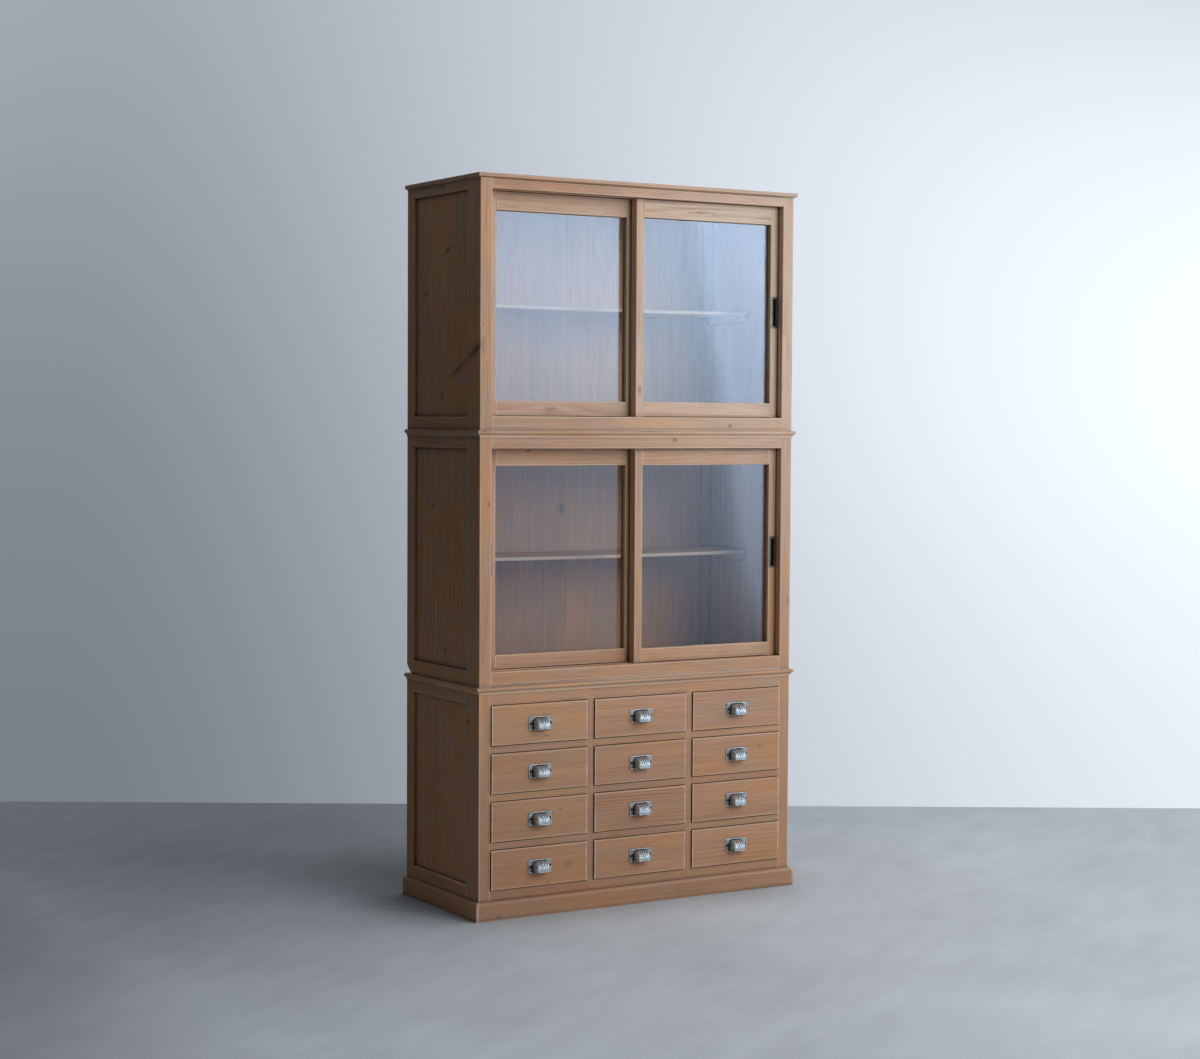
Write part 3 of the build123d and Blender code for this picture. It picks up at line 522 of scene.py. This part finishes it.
def cast_metal(name, rubbed, patina, reach):
    """Cast metal, rubbed bright where it stands out and dark in its hollows."""
    shader = Shader(bpy.data.materials.new(name))
    x, y, z = shader.place()
    coarse = shader.noise((x, y, z), 260.0, 260.0, detail=3.0, roughness=0.6)
    pits = shader.noise((x, y, z), 900.0, 900.0)
    open_air = shader.open_air(reach, samples=8)
    wear = (open_air.rise(0.62, 0.99) * (coarse * 1.8 - 0.18)).clamp()
    paint = wear.tint(patina, rubbed)
    normal = shader.bump(coarse * 0.6 + pits * 0.4, 0.0004, 0.7)
    shown = shader.surface(Base_Color=paint, Roughness=0.54 - wear * 0.20 + pits * 0.1, Metallic=0.95,
                           Normal=normal)
    return shader.finish(shown)


def pane_glass():
    """Old drawn glass: clear, a little wavy, and glossier at a slant."""
    tone = bpy.context.scene.cabinet_glass
    shader = Shader(bpy.data.materials.new("pane_glass"))
    x, y, z = shader.place()
    wave = shader.noise((z, x, y), 2.0, 4.0, detail=0.0)
    normal = shader.bump(wave, tone.ripple)
    slant = shader.node("LayerWeight", None, {"Blend": 0.5}, output="Facing")
    share = tone.gloss + slant ** 5.0 * (1.0 - tone.gloss)
    clear = shader.node("BsdfTransparent", None, {"Color": tone.glass_tint})
    mirror = shader.node("BsdfAnisotropic", None,
                         {"Color": (1.0, 1.0, 1.0), "Roughness": 0.05, "Normal": normal})
    return shader.finish(shader.node("MixShader", None, {0: share, 1: clear, 2: mirror}))


def dress(node, material):
    """Give one node of the frame, or one modelled piece, its finish."""
    slots = bpy.data.objects[node].data.materials
    slots.clear()
    slots.append(material)


# Modelling helpers
def pick(*pieces):
    """Select these pieces alone, the first as the active one."""
    bpy.ops.object.select_all(action="DESELECT")
    for piece in pieces:
        piece.select_set(True)
    bpy.context.view_layer.objects.active = pieces[0]


def settle(piece, **placing):
    """Place, turn or scale the selected piece, and settle that into its mesh."""
    for name, value in placing.items():
        setattr(piece, name, value)
    bpy.ops.object.transform_apply(location=True, rotation=True, scale=True)
    return piece


def start_piece(add, **size):
    """Add one primitive with nothing else selected, and settle its size into its mesh."""
    bpy.ops.object.select_all(action="DESELECT")
    add(**size)
    return settle(bpy.context.object)


def choose(piece, kind, test):
    """Go into edit mode with the faces or edges that pass a test selected."""
    bpy.ops.object.mode_set(mode="EDIT")
    bpy.ops.mesh.select_mode(type=kind)
    bpy.ops.mesh.select_all(action="DESELECT")
    bpy.ops.object.mode_set(mode="OBJECT")
    mesh = piece.data
    for item in mesh.polygons if kind == "FACE" else mesh.edges:
        item.select = test(item)
    bpy.ops.object.mode_set(mode="EDIT")


def leave_edit():
    """Back to object mode."""
    bpy.ops.object.mode_set(mode="OBJECT")


def cut_across(piece, x):
    """Cut every face of a piece at one place along X."""
    choose(piece, "FACE", lambda face: True)
    bpy.ops.mesh.bisect(plane_co=(x, 0.0, 0.0), plane_no=(1.0, 0.0, 0.0))
    leave_edit()


def bevel_edges(piece, width, segments=2):
    """Round the sharp edges of a piece."""
    rounding = piece.modifiers.new("rounding", "BEVEL")
    rounding.width = width
    rounding.segments = segments
    rounding.limit_method = "ANGLE"
    rounding.angle_limit = SHARP_ANGLE
    apply_modifier(piece, rounding)


def apply_modifier(piece, modifier):
    """Settle one modifier into the mesh."""
    pick(piece)
    bpy.ops.object.modifier_apply(modifier=modifier.name)


def join(pieces, name):
    """Make several pieces one mesh."""
    pick(*pieces)
    bpy.ops.object.join()
    whole = bpy.context.object
    whole.name = name
    whole.data.name = name
    return whole


def smooth(piece):
    """Shade a piece smooth, with its sharp edges kept."""
    pick(piece)
    bpy.ops.object.shade_smooth_by_angle(angle=SMOOTH_ANGLE)


def box_piece(low, high):
    """A box between two corners, as a start."""
    middle = (low + high) / 2
    return start_piece(bpy.ops.mesh.primitive_cube_add, size=1.0, location=middle, scale=high - low)


def is_at(value, place):
    """True where two lengths agree to a hundredth of a millimetre."""
    return abs(value - place) < 1e-5


def ends(piece, edge):
    """The two places where an edge ends."""
    return [piece.data.vertices[i].co for i in edge.vertices]


# Operators
class CABINET_OT_case_wood(bpy.types.Operator):
    """Finish the posts, rails, cornices, plinth, floor and top boards, door rails and drawer runners"""

    bl_idname = "cabinet.case_wood"
    bl_label = "Finish the cases"

    def execute(self, context):
        colour = context.scene.cabinet_wood.frame_colour
        rail_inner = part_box("upper_floor_board")[1].x - GRAIN_MARGIN
        post_low, post_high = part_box("lower_posts")
        corner = post_high.x + post_low.y

        def on_side(x, y, z):
            return (abs(x) + y) > corner

        def side_board(x, y, z):
            return on_side(x, y, z) * ((x > 0.0) + 1.0)

        for seed, case in enumerate(CASES, 1):
            low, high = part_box(f"{case}_posts")
            middle = (low.z + high.z) / 2
            finish_wood(f"{case}_posts", colour, "z", board=lambda x, y, z: (x > 0.0) + (y > 0.0) * 2.0,
                        seed=seed * 10.0)
            finish_wood(f"{case}_frame_rails", colour, "x", "y", lambda x, y, z: abs(x) > rail_inner,
                        board=lambda x, y, z: (x > 0.0) + (z > middle) * 2.0, seed=seed * 10.0 + 4.0)
        for seed, node in ((40.0, "lower_cornice"), (50.0, "middle_cornice"), (63.0, "plinth")):
            finish_wood(node, colour, "x", "y", on_side, side_board, seed, rubbed=0.6)
        finish_wood("upper_top_board", colour, "x", seed=60.0)
        for seed, case in enumerate(GLAZED):
            low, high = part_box(f"{case}_door_rails")
            middle = (low.z + high.z) / 2
            finish_wood(f"{case}_floor_board", colour, "x", seed=66.0 + seed)
            finish_wood(f"{case}_door_rails", colour, "x", board=lambda x, y, z: z > middle,
                        seed=68.0 + seed * 2.0)
        self.finish_drawer_frame(colour)
        finish_wood("drawer_runners", colour, "y", board=lambda x, y, z: (x * 9.0).whole(), seed=90.0)
        return {"FINISHED"}

    def finish_drawer_frame(self, colour):
        """Grain up the stiles and along the rails between the drawers."""
        left_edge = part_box("drawer_1_left")[1].x
        next_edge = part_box("drawer_1_centre")[0].x
        stile = abs(left_edge + next_edge) / 2
        half = (next_edge - left_edge) / 2
        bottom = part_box("drawer_4_left")[0].z
        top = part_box("drawer_1_left")[1].z
        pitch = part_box("drawer_3_left")[1].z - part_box("drawer_4_left")[1].z

        def on_stile(x, y, z):
            return (abs(abs(x) - stile) < half) * (z > bottom) * (z < top)

        def number(x, y, z):
            column = (x > -stile) + (x > stile) * 1.0
            row = ((z - bottom) / pitch).whole()
            return on_stile(x, y, z).blend(column * 7.0 + row, (x > 0.0) + 40.0)

        # More grime and painted shade in the gaps round the drawers, and less wear and painted highlight
        finish_wood("lower_front_frame", colour, "x", "z", on_stile, number, 100.0, grime_and_shade_scale=1.3, rubbed=0.35)


class CABINET_OT_panel_wood(bpy.types.Operator):
    """Finish the side panels and the back boards"""

    bl_idname = "cabinet.panel_wood"
    bl_label = "Finish the panels"

    def execute(self, context):
        colour = context.scene.cabinet_wood.panel_colour
        for seed, case in enumerate(CASES):
            finish_wood(f"{case}_side_panels", colour, "z", board=lambda x, y, z: x > 0.0,
                        seed=200.0 + seed * 3.0)
            low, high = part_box(f"{case}_back_boards")
            width = (high.x - low.x) / BACK_BOARDS
            # Little grime and painted shade on the back boards
            finish_wood(f"{case}_back_boards", colour, "z",
                        board=lambda x, y, z: ((x - low.x) / width).whole(), seed=220.0 + seed * 5.0,
                        grime_and_shade_scale=0.12)
        return {"FINISHED"}


class CABINET_OT_door_wood(bpy.types.Operator):
    """Finish the sliding doors"""

    bl_idname = "cabinet.door_wood"
    bl_label = "Finish the doors"

    def execute(self, context):
        colour = context.scene.cabinet_wood.door_colour
        for count, door in enumerate(DOORS):
            glass_low, glass_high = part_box(f"{door}_glass")
            low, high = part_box(f"{door}_door")
            middle = (low + high) / 2
            left, right = glass_low.x + GLASS_EDGE, glass_high.x - GLASS_EDGE

            def on_stile(x, y, z):
                return (x < left) + (x > right) * 1.0

            def number(x, y, z):
                return on_stile(x, y, z).blend((z > middle.z) * 1.0, (x > middle.x) + 2.0)

            # The upper doors take extra painted light
            finish_wood(f"{door}_door", colour, "x", "z", on_stile, number, 300.0 + count * 6.0,
                        added_painted_light=UPPER_DOOR_PAINTED_LIGHT if door.startswith("upper") else 0.0, figure=1.4,
                        grime_and_shade_scale=0.75)
        return {"FINISHED"}


class CABINET_OT_drawer_wood(bpy.types.Operator):
    """Finish the drawers"""

    bl_idname = "cabinet.drawer_wood"
    bl_label = "Finish the drawers"

    def execute(self, context):
        colour = context.scene.cabinet_wood.drawer_colour
        drawers = [f"drawer_{row}_{side}" for row in ROWS for side in COLUMNS]
        for count, drawer in enumerate(drawers):
            low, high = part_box(drawer)
            middle = (low.x + high.x) / 2
            back_of_front = low.y + DRAWER_FRONT

            def behind(x, y, z):
                return y > back_of_front

            def number(x, y, z):
                return behind(x, y, z) * ((x > middle) + 1.0)

            finish_wood(drawer, colour, "x", "y", behind, number, 400.0 + count * 4.0,
                        figure=1.9 if drawer in FIGURED_DRAWERS else 0.5)
        return {"FINISHED"}


class CABINET_OT_glass(bpy.types.Operator):
    """Finish the panes"""

    bl_idname = "cabinet.glass"
    bl_label = "Finish the glass"

    def execute(self, context):
        material = pane_glass()
        for door in DOORS:
            dress(f"{door}_glass", material)
        return {"FINISHED"}


class CABINET_OT_shelves(bpy.types.Operator):
    """Model the inner shelves, which sag a little, on their battens"""

    bl_idname = "cabinet.shelves"
    bl_label = "Model the shelves"

    def execute(self, context):
        sizes = context.scene.cabinet_shelf
        colour = context.scene.cabinet_wood.panel_colour
        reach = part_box("upper_shelf")[1].x - sizes.batten_width
        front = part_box("upper_shelf")[0].y + sizes.worn_edge
        post_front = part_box("upper_floor_board")[1].y - REAR_POST_DEPTH
        for seed, (case, sag) in enumerate((("middle", sizes.middle_sag), ("upper", sizes.upper_sag))):
            board = self.shelf_board(case, sizes, sag, post_front)
            battens = [self.batten(case, sizes, side, post_front) for side in (-1, 1)]
            shelf = join([board, *battens], f"{case}_sagging_shelf")
            smooth(shelf)
            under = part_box(f"{case}_shelf")[1].z - sizes.thickness
            finish_wood(shelf.name, colour, "x", "y", lambda x, y, z: (z < under) * (abs(x) > reach),
                        seed=500.0 + seed * 4.0, bare_and_highlight_front=front)
            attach(shelf, "cabinet")
            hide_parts(f"{case}_shelf")
        return {"FINISHED"}

    def shelf_board(self, case, sizes, sag, post_front):
        """A board notched round the rear posts, worn along its front edge and sagging."""
        low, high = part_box(f"{case}_shelf")
        narrow = -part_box(f"{case}_left_door")[0].x
        board = box_piece(Vector((low.x, low.y, high.z - sizes.thickness)),
                          Vector((high.x, post_front, high.z)))
        for side in (-1, 1):
            cut_across(board, side * narrow)
        choose(board, "FACE", lambda face: face.normal.y > 0.9 and abs(face.center.x) < narrow * 0.9)
        bpy.ops.mesh.extrude_region_move(TRANSFORM_OT_translate={"value": (0.0, high.y - post_front, 0.0)})
        leave_edit()
        bevel_edges(board, sizes.worn_edge, segments=3)
        for i in range(1, SHELF_CUTS):
            cut_across(board, low.x + (high.x - low.x) * i / SHELF_CUTS)
        reach = high.x - sizes.batten_width
        for vertex in board.data.vertices:
            vertex.co.z -= sag * max(0.0, 1.0 - (vertex.co.x / reach) ** 2)
        return board

    def batten(self, case, sizes, side, back):
        """One of the two strips that carry a shelf."""
        low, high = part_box(f"{case}_shelf")
        inner, outer = sorted((side * (high.x - sizes.batten_width), side * high.x))
        piece = box_piece(Vector((inner, low.y + sizes.batten_width, low.z)),
                          Vector((outer, back, high.z - sizes.thickness)))
        bevel_edges(piece, BATTEN_EDGE)
        return piece


class CABINET_OT_cup_pulls(bpy.types.Operator):
    """Model one cast cup pull and put a copy on every drawer"""

    bl_idname = "cabinet.cup_pulls"
    bl_label = "Model the cup pulls"

    def execute(self, context):
        sizes = context.scene.cabinet_cup_pull
        metal = context.scene.cabinet_metal
        low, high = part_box("cup_pull_1_left")
        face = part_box("drawer_1_left")[0].y
        field = sizes.plate_sink - sizes.plate_thickness
        reach = face - low.y + field - sizes.lip_radius
        rise = sizes.cup_top + sizes.cup_shoulder
        iron = cast_metal("aged_cup_metal", metal.iron_colour, metal.patina_colour, reach=0.004)
        steel = cast_metal("dark_screw_steel", metal.screw_colour, metal.patina_colour, reach=0.002)

        plate = self.plate(sizes, high.x - low.x, high.z - low.z)
        cup, bead = self.cup(sizes, field, reach, rise)
        petals, bosses = self.petals(sizes, field, reach, rise), self.bosses(sizes, field)
        casting = join([plate, cup, bead, *petals, *bosses], "casting")
        dress("casting", iron)
        screws = join([self.screw(sizes, field, side) for side in SCREW_TURNS], "screws")
        dress("screws", steel)
        pull = join([casting, screws], "cup_pull_pattern")
        smooth(pull)
        for row in ROWS:
            for side in COLUMNS:
                low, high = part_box(f"cup_pull_{row}_{side}")
                copy = pull.copy()
                copy.data = pull.data.copy()
                copy.name = f"cast_cup_pull_{row}_{side}"
                copy.data.transform(Matrix.Translation(((low.x + high.x) / 2, face, (low.z + high.z) / 2)))
                context.scene.collection.objects.link(copy)
                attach(copy, f"sliding_drawer_{row}_{side}")
                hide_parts(f"cup_pull_{row}_{side}")
        bpy.data.objects.remove(pull)
        return {"FINISHED"}

    def plate(self, sizes, width, height):
        """The back plate: rounded corners, a raised rim and a sunk field."""
        thick = sizes.plate_thickness
        plate = box_piece(Vector((-width / 2, -thick, -height / 2)), Vector((width / 2, 0.0, height / 2)))

        def across(edge):
            a, b = ends(plate, edge)
            return is_at(a.x, b.x) and is_at(a.z, b.z)

        choose(plate, "EDGE", across)
        bpy.ops.mesh.bevel(offset=sizes.plate_corner, segments=6, affect="EDGES")
        leave_edit()
        choose(plate, "FACE", lambda face: face.normal.y < -0.9)
        bpy.ops.mesh.inset(thickness=sizes.plate_rim, depth=0.0)
        bpy.ops.mesh.inset(thickness=sizes.plate_sink, depth=-sizes.plate_sink)
        leave_edit()
        bevel_edges(plate, PLATE_EDGE)
        return plate

    def cup(self, sizes, field, reach, rise):
        """The hollow cup and the rolled bead along its lip."""
        cup = start_piece(bpy.ops.mesh.primitive_cylinder_add, vertices=64, radius=1.0,
                          depth=sizes.cup_width - 2 * sizes.lip_radius, rotation=(0.0, math.pi / 2, 0.0))
        settle(cup, scale=(1.0, reach, rise), location=(0.0, field, -sizes.cup_shoulder))
        end = sizes.cup_width / 2 - sizes.lip_radius

        def on_rim(edge):
            a, b = ends(cup, edge)
            return is_at(abs(a.x), end) and is_at(a.x, b.x)

        choose(cup, "EDGE", on_rim)
        bpy.ops.mesh.bevel(offset=sizes.cup_round, segments=8, affect="EDGES")
        bpy.ops.mesh.select_all(action="SELECT")
        bpy.ops.mesh.bisect(plane_co=(0.0, field, 0.0), plane_no=(0.0, 1.0, 0.0), clear_outer=True)
        bpy.ops.mesh.select_all(action="SELECT")
        bpy.ops.mesh.bisect(plane_co=(0.0, 0.0, -sizes.cup_shoulder), plane_no=(0.0, 0.0, 1.0),
                            clear_inner=True)
        leave_edit()

        def at_level(level):
            return lambda edge: all(is_at(place.z, level) for place in ends(cup, edge))

        lip = -sizes.cup_bottom + sizes.lip_radius
        choose(cup, "EDGE", at_level(-sizes.cup_shoulder))
        bpy.ops.mesh.extrude_region_move(
            TRANSFORM_OT_translate={"value": (0.0, 0.0, lip + sizes.cup_shoulder)})
        bpy.ops.mesh.select_all(action="SELECT")
        bpy.ops.mesh.normals_make_consistent(inside=False)
        leave_edit()
        choose(cup, "EDGE", at_level(lip))
        bpy.ops.mesh.duplicate()
        bpy.ops.mesh.separate(type="SELECTED")
        leave_edit()
        bead = next(piece for piece in bpy.context.selected_objects if piece != cup)
        wall = cup.modifiers.new("wall", "SOLIDIFY")
        wall.thickness = sizes.cup_wall
        wall.offset = -1.0
        apply_modifier(cup, wall)

        pick(bead)
        bpy.ops.object.convert(target="CURVE")
        bead.data.bevel_depth = sizes.lip_radius
        bead.data.bevel_resolution = 3
        bead.data.use_fill_caps = True
        bpy.ops.object.convert(target="MESH")
        return cup, bead

    def petals(self, sizes, field, reach, rise):
        """A plain fan of raised petals on the front of the cup."""
        out, up = math.cos(PETAL_LEVEL), math.sin(PETAL_LEVEL)
        tilt = math.atan2(up / rise, out / reach)
        made = []
        for i in range(sizes.petals):
            step = i - (sizes.petals - 1) / 2
            petal = start_piece(bpy.ops.mesh.primitive_uv_sphere_add, segments=16, ring_count=10, radius=0.5)
            tall = sizes.petal_length * (1.0 - abs(step) * PETAL_TAPER)
            height = rise * up - sizes.cup_shoulder - abs(step) * PETAL_DROP
            made.append(settle(petal, scale=(sizes.petal_width, PETAL_DEPTH, tall),
                               rotation_euler=(-tilt, PETAL_FAN * step, 0.0),
                               location=(step * sizes.petal_width * PETAL_SPACING, field - reach * out,
                                         height)))
        return made

    def bosses(self, sizes, field):
        """Small raised dots above and below each screw."""
        made = []
        for x in (-sizes.screw_spacing / 2, sizes.screw_spacing / 2):
            for z in (-BOSS_HEIGHT, BOSS_HEIGHT):
                boss = start_piece(bpy.ops.mesh.primitive_uv_sphere_add, segments=14, ring_count=8,
                                   radius=0.5)
                made.append(settle(boss, scale=BOSS_SIZE, location=(x, field, z)))
        return made

    def screw(self, sizes, field, side):
        """A domed screw head with a slot."""
        front = field - sizes.screw_height
        head = start_piece(bpy.ops.mesh.primitive_cylinder_add, vertices=32, radius=sizes.screw_radius,
                           depth=sizes.screw_height, rotation=(math.pi / 2, 0.0, 0.0),
                           location=(0.0, (front + field) / 2, 0.0))
        bevel_edges(head, sizes.screw_height * SCREW_DOME, segments=4)
        slot = box_piece(Vector((-SLOT_LENGTH / 2, front - SLOT_CLEAR, -SLOT_WIDTH / 2)),
                         Vector((SLOT_LENGTH / 2, front + SLOT_DEPTH, SLOT_WIDTH / 2)))
        cut = head.modifiers.new("slot", "BOOLEAN")
        cut.operation = "DIFFERENCE"
        cut.object = slot
        apply_modifier(head, cut)
        bpy.data.objects.remove(slot)
        return settle(head, rotation_euler=(0.0, SCREW_TURNS[side], 0.0),
                      location=(side * sizes.screw_spacing / 2, 0.0, 0.0))


class CABINET_OT_finger_pulls(bpy.types.Operator):
    """Finish the recessed finger pulls of the doors"""

    bl_idname = "cabinet.finger_pulls"
    bl_label = "Finish the finger pulls"

    def execute(self, context):
        metal = context.scene.cabinet_metal
        brass = cast_metal("tarnished_brass", metal.brass_colour, metal.patina_colour, reach=0.006)
        for door in DOORS:
            dress(f"{door}_finger_pull", brass)
        return {"FINISHED"}


class CABINET_OT_studio(bpy.types.Operator):
    """Set the camera, the floor and the soft light of the studio"""

    bl_idname = "cabinet.studio"
    bl_label = "Set the studio"

    def execute(self, context):
        studio = context.scene.cabinet_studio
        self.camera(context, studio)
        self.floor(studio)
        self.window(studio)
        self.flag(studio)
        self.soft_light("key_light", place=(1.05, -3.0, 2.25), size=2.0, power=studio.key_light)
        self.soft_light("side_light", place=(3.4, -1.2, 1.9), size=1.8, power=studio.side_light)
        self.room(context, studio)
        context.scene.view_settings.view_transform = "Standard"
        return {"FINISHED"}

    def camera(self, context, studio):
        """The camera, turned, dipped and rolled from a level view along +Y."""
        turn, dip, roll = studio.turn, studio.dip, studio.roll
        ahead = Vector((math.sin(turn) * math.cos(dip), math.cos(turn) * math.cos(dip), -math.sin(dip)))
        right = Vector((math.cos(turn), -math.sin(turn), 0.0))
        up = right.cross(ahead)
        rolled_right = right * math.cos(roll) + up * math.sin(roll)
        rolled_up = up * math.cos(roll) - right * math.sin(roll)
        data = bpy.data.cameras.new("studio_camera")
        data.lens = studio.lens
        camera = bpy.data.objects.new("studio_camera", data)
        axes = Matrix((rolled_right, rolled_up, -ahead)).transposed().to_4x4()
        camera.matrix_world = Matrix.Translation(studio.camera_place) @ axes
        context.scene.collection.objects.link(camera)
        context.scene.camera = camera

    def plane(self, name, place, turns, size):
        """A flat plane of the studio."""
        bpy.ops.object.select_all(action="DESELECT")
        bpy.ops.mesh.primitive_plane_add(size=1.0, location=place, rotation=turns)
        plane = bpy.context.object
        plane.name = name
        plane.scale = (*size, 1.0)
        return plane

    def hide(self, piece, *rays):
        """Hide a piece of the studio from some kinds of rays."""
        for ray in rays:
            setattr(piece, f"visible_{ray}", False)

    def floor(self, studio):
        """A grey floor that ends where the backdrop starts, with painted light and painted shadow on it."""
        turn = studio.turn
        ahead = Vector((math.sin(turn), math.cos(turn), 0.0))
        centre = Vector((*studio.camera_place[:2], 0.0)) + ahead * (studio.floor_end - FLOOR_SIZE / 2)
        floor = settle(self.plane("studio_floor", centre, (0.0, 0.0, -turn), (FLOOR_SIZE, FLOOR_SIZE)))
        shader = Shader(bpy.data.materials.new("pale_concrete"))
        x, y, z = shader.place()
        cloud = shader.noise((x, y, z), 1.3, 1.3, detail=5.0, roughness=0.6)
        trowel = shader.noise((x + y * 0.7, y - x * 0.7, z), 3.0, 12.0, detail=3.0)
        # Painted light: darker towards the back left and brighter at the front right, over the concrete's
        # mottling
        light = (0.74 + cloud * 0.46 + trowel * 0.24) * (1.0 - (y - x * 0.85).rise(-0.2, 1.6) * 0.45) * (
            1.0 + x.rise(0.6, 1.8) * y.rise(-1.2, 0.2) * 0.16)
        # Painted shadow: a contact shadow round the cabinet, deeper on its left, and a pool of shadow behind
        # it
        near = shader.open_air(0.22, samples=8)
        shade = (1.0 - near) * (0.95 - x.rise(-0.62, -0.42) * 0.40)
        behind = (x.rise(-0.75, -0.35) - x.rise(0.2, 0.6)) * (y.rise(0.0, 0.25) - y.rise(0.4, 1.0))
        paint = shader.dim(studio.floor_colour[:], light * (1.0 - shade) * (1.0 - behind * 0.48))
        shown = shader.surface(Base_Color=paint, Roughness=0.70 + cloud * 0.25, Specular_IOR_Level=0.25)
        floor.data.materials.append(shader.finish(shown))

    def window(self, studio):
        """A tall curtained window that only the panes and the metal mirror: bright above, dim below, and
        brighter to the right of a slanting fold."""
        width, height = WINDOW_SIZE
        place = (math.sin(WINDOW_TURN) * WINDOW_DISTANCE,
                 FRONT_DEPTH - math.cos(WINDOW_TURN) * WINDOW_DISTANCE, height / 2)
        window = self.plane("studio_window", place, (math.pi / 2, 0.0, WINDOW_TURN), WINDOW_SIZE)
        shader = Shader(bpy.data.materials.new("window_light"))
        across, up, flat = shader.place()
        across = across * width
        up = (up + 0.5) * height
        cloth = (up, across + up * 0.16, flat)
        folds = shader.noise(cloth, 0.5, 5.5)
        fold = (across + up * 0.15 - 0.53).rise(-0.035, 0.035)
        low = up.rise(0.0, 1.1) * 0.14 + 0.10
        high = up.rise(0.98, 1.20) * 0.30 + up.rise(1.15, 2.0) * 0.40
        slope = (across + 0.4) * up.rise(-0.2, 0.9) * 0.12
        pleats = shader.noise(cloth, 0.7, 19.0, detail=1.0).rise(0.42, 0.70)
        pleated = pleats * across.rise(0.30, 0.45) * up.rise(-0.2, 1.2) * 0.20
        glow = (low + high + slope + fold * up.rise(-0.2, 0.9) * 0.26 + pleated) * (0.82 + folds * 0.36)
        shown = shader.node("Emission", None, {"Color": studio.window_colour,
                                               "Strength": glow * studio.window_light})
        window.data.materials.append(shader.finish(shown))
        self.hide(window, "camera", "diffuse", "shadow")

    def flag(self, studio):
        """A black card, fading out at its foot, that keeps the room's light off the cabinet's left side."""
        place = (studio.flag_place, FRONT_DEPTH, FLAG_MIDDLE)
        flag = self.plane("studio_flag", place, (0.0, math.pi / 2, 0.0), FLAG_SIZE)
        shader = Shader(bpy.data.materials.new("black_card"))
        down = shader.place()[0]
        card = shader.surface(Base_Color=(0.012, 0.012, 0.012), Roughness=1.0)
        clear = shader.node("BsdfTransparent")
        flag.data.materials.append(shader.finish(shader.node(
            "MixShader", None, {0: down.rise(0.16, 0.5), 1: card, 2: clear})))
        self.hide(flag, "camera", "glossy", "shadow")

    def soft_light(self, name, place, size, power):
        """A large square lamp aimed at the cabinet."""
        data = bpy.data.lights.new(name, "AREA")
        data.size = size
        data.energy = power
        data.color = LAMP_COLOUR
        lamp = bpy.data.objects.new(name, data)
        lamp.location = place
        lamp.rotation_euler = (LAMP_AIM - lamp.location).to_track_quat("-Z", "Y").to_euler()
        self.hide(lamp, "camera", "glossy")
        bpy.context.scene.collection.objects.link(lamp)

    def room(self, context, studio):
        """The backdrop and the room's own light: bright towards the window's side, dark the other way,
        and dimmer near the floor."""
        world = bpy.data.worlds.new("studio_room")
        context.scene.world = world
        shader = Shader(world)
        sideways, _, upwards = shader.split("SeparateXYZ", shader.node("TexCoord", output="Generated"))
        lit = sideways.rise(0.299, 0.819).tint(studio.wall_dim, studio.wall_bright)
        paint = sideways.rise(-0.55, 0.24).tint(studio.room_dark, lit)
        climb = upwards.rise(-0.036, 0.50).at_most(0.4)
        within = sideways.at_least(0.28).at_most(0.72)
        above = climb * (0.503 - within) * sideways.rise(-0.3, 0.28) * 5.67
        light = 0.81 + upwards.rise(-0.195, 0.155) * 0.314 + above
        shader.finish(shader.node("Background", None, {"Color": paint, "Strength": light}))


class CABINET_PT_panel(bpy.types.Panel):
    """The cabinet's steps in the sidebar."""

    bl_idname = "CABINET_PT_panel"
    bl_label = "Kitchen Cabinet"
    bl_space_type = "VIEW_3D"
    bl_region_type = "UI"
    bl_category = "Cabinet"

    def draw(self, context):
        for step in STEPS:
            self.layout.operator(step.bl_idname)
        for name, group in SETTINGS.items():
            self.layout.label(text=group.__doc__)
            for setting in group.__annotations__:
                self.layout.prop(getattr(context.scene, name), setting)


STEPS = (CABINET_OT_case_wood, CABINET_OT_panel_wood, CABINET_OT_door_wood, CABINET_OT_drawer_wood,
         CABINET_OT_glass, CABINET_OT_shelves, CABINET_OT_cup_pulls, CABINET_OT_finger_pulls,
         CABINET_OT_studio)


def register():
    for group in SETTINGS.values():
        bpy.utils.register_class(group)
    for name, group in SETTINGS.items():
        setattr(bpy.types.Scene, name, PointerProperty(type=group))
    for step in STEPS:
        bpy.utils.register_class(step)
    bpy.utils.register_class(CABINET_PT_panel)


def unregister():
    bpy.utils.unregister_class(CABINET_PT_panel)
    for step in reversed(STEPS):
        bpy.utils.unregister_class(step)
    for name in SETTINGS:
        delattr(bpy.types.Scene, name)
    for group in reversed(SETTINGS.values()):
        bpy.utils.unregister_class(group)


def main():
    """Dress the whole cabinet and set the studio."""
    register()
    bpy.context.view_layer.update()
    for step in STEPS:
        space, call = step.bl_idname.split(".")
        getattr(getattr(bpy.ops, space), call)()


if __name__ == "__main__":
    main()
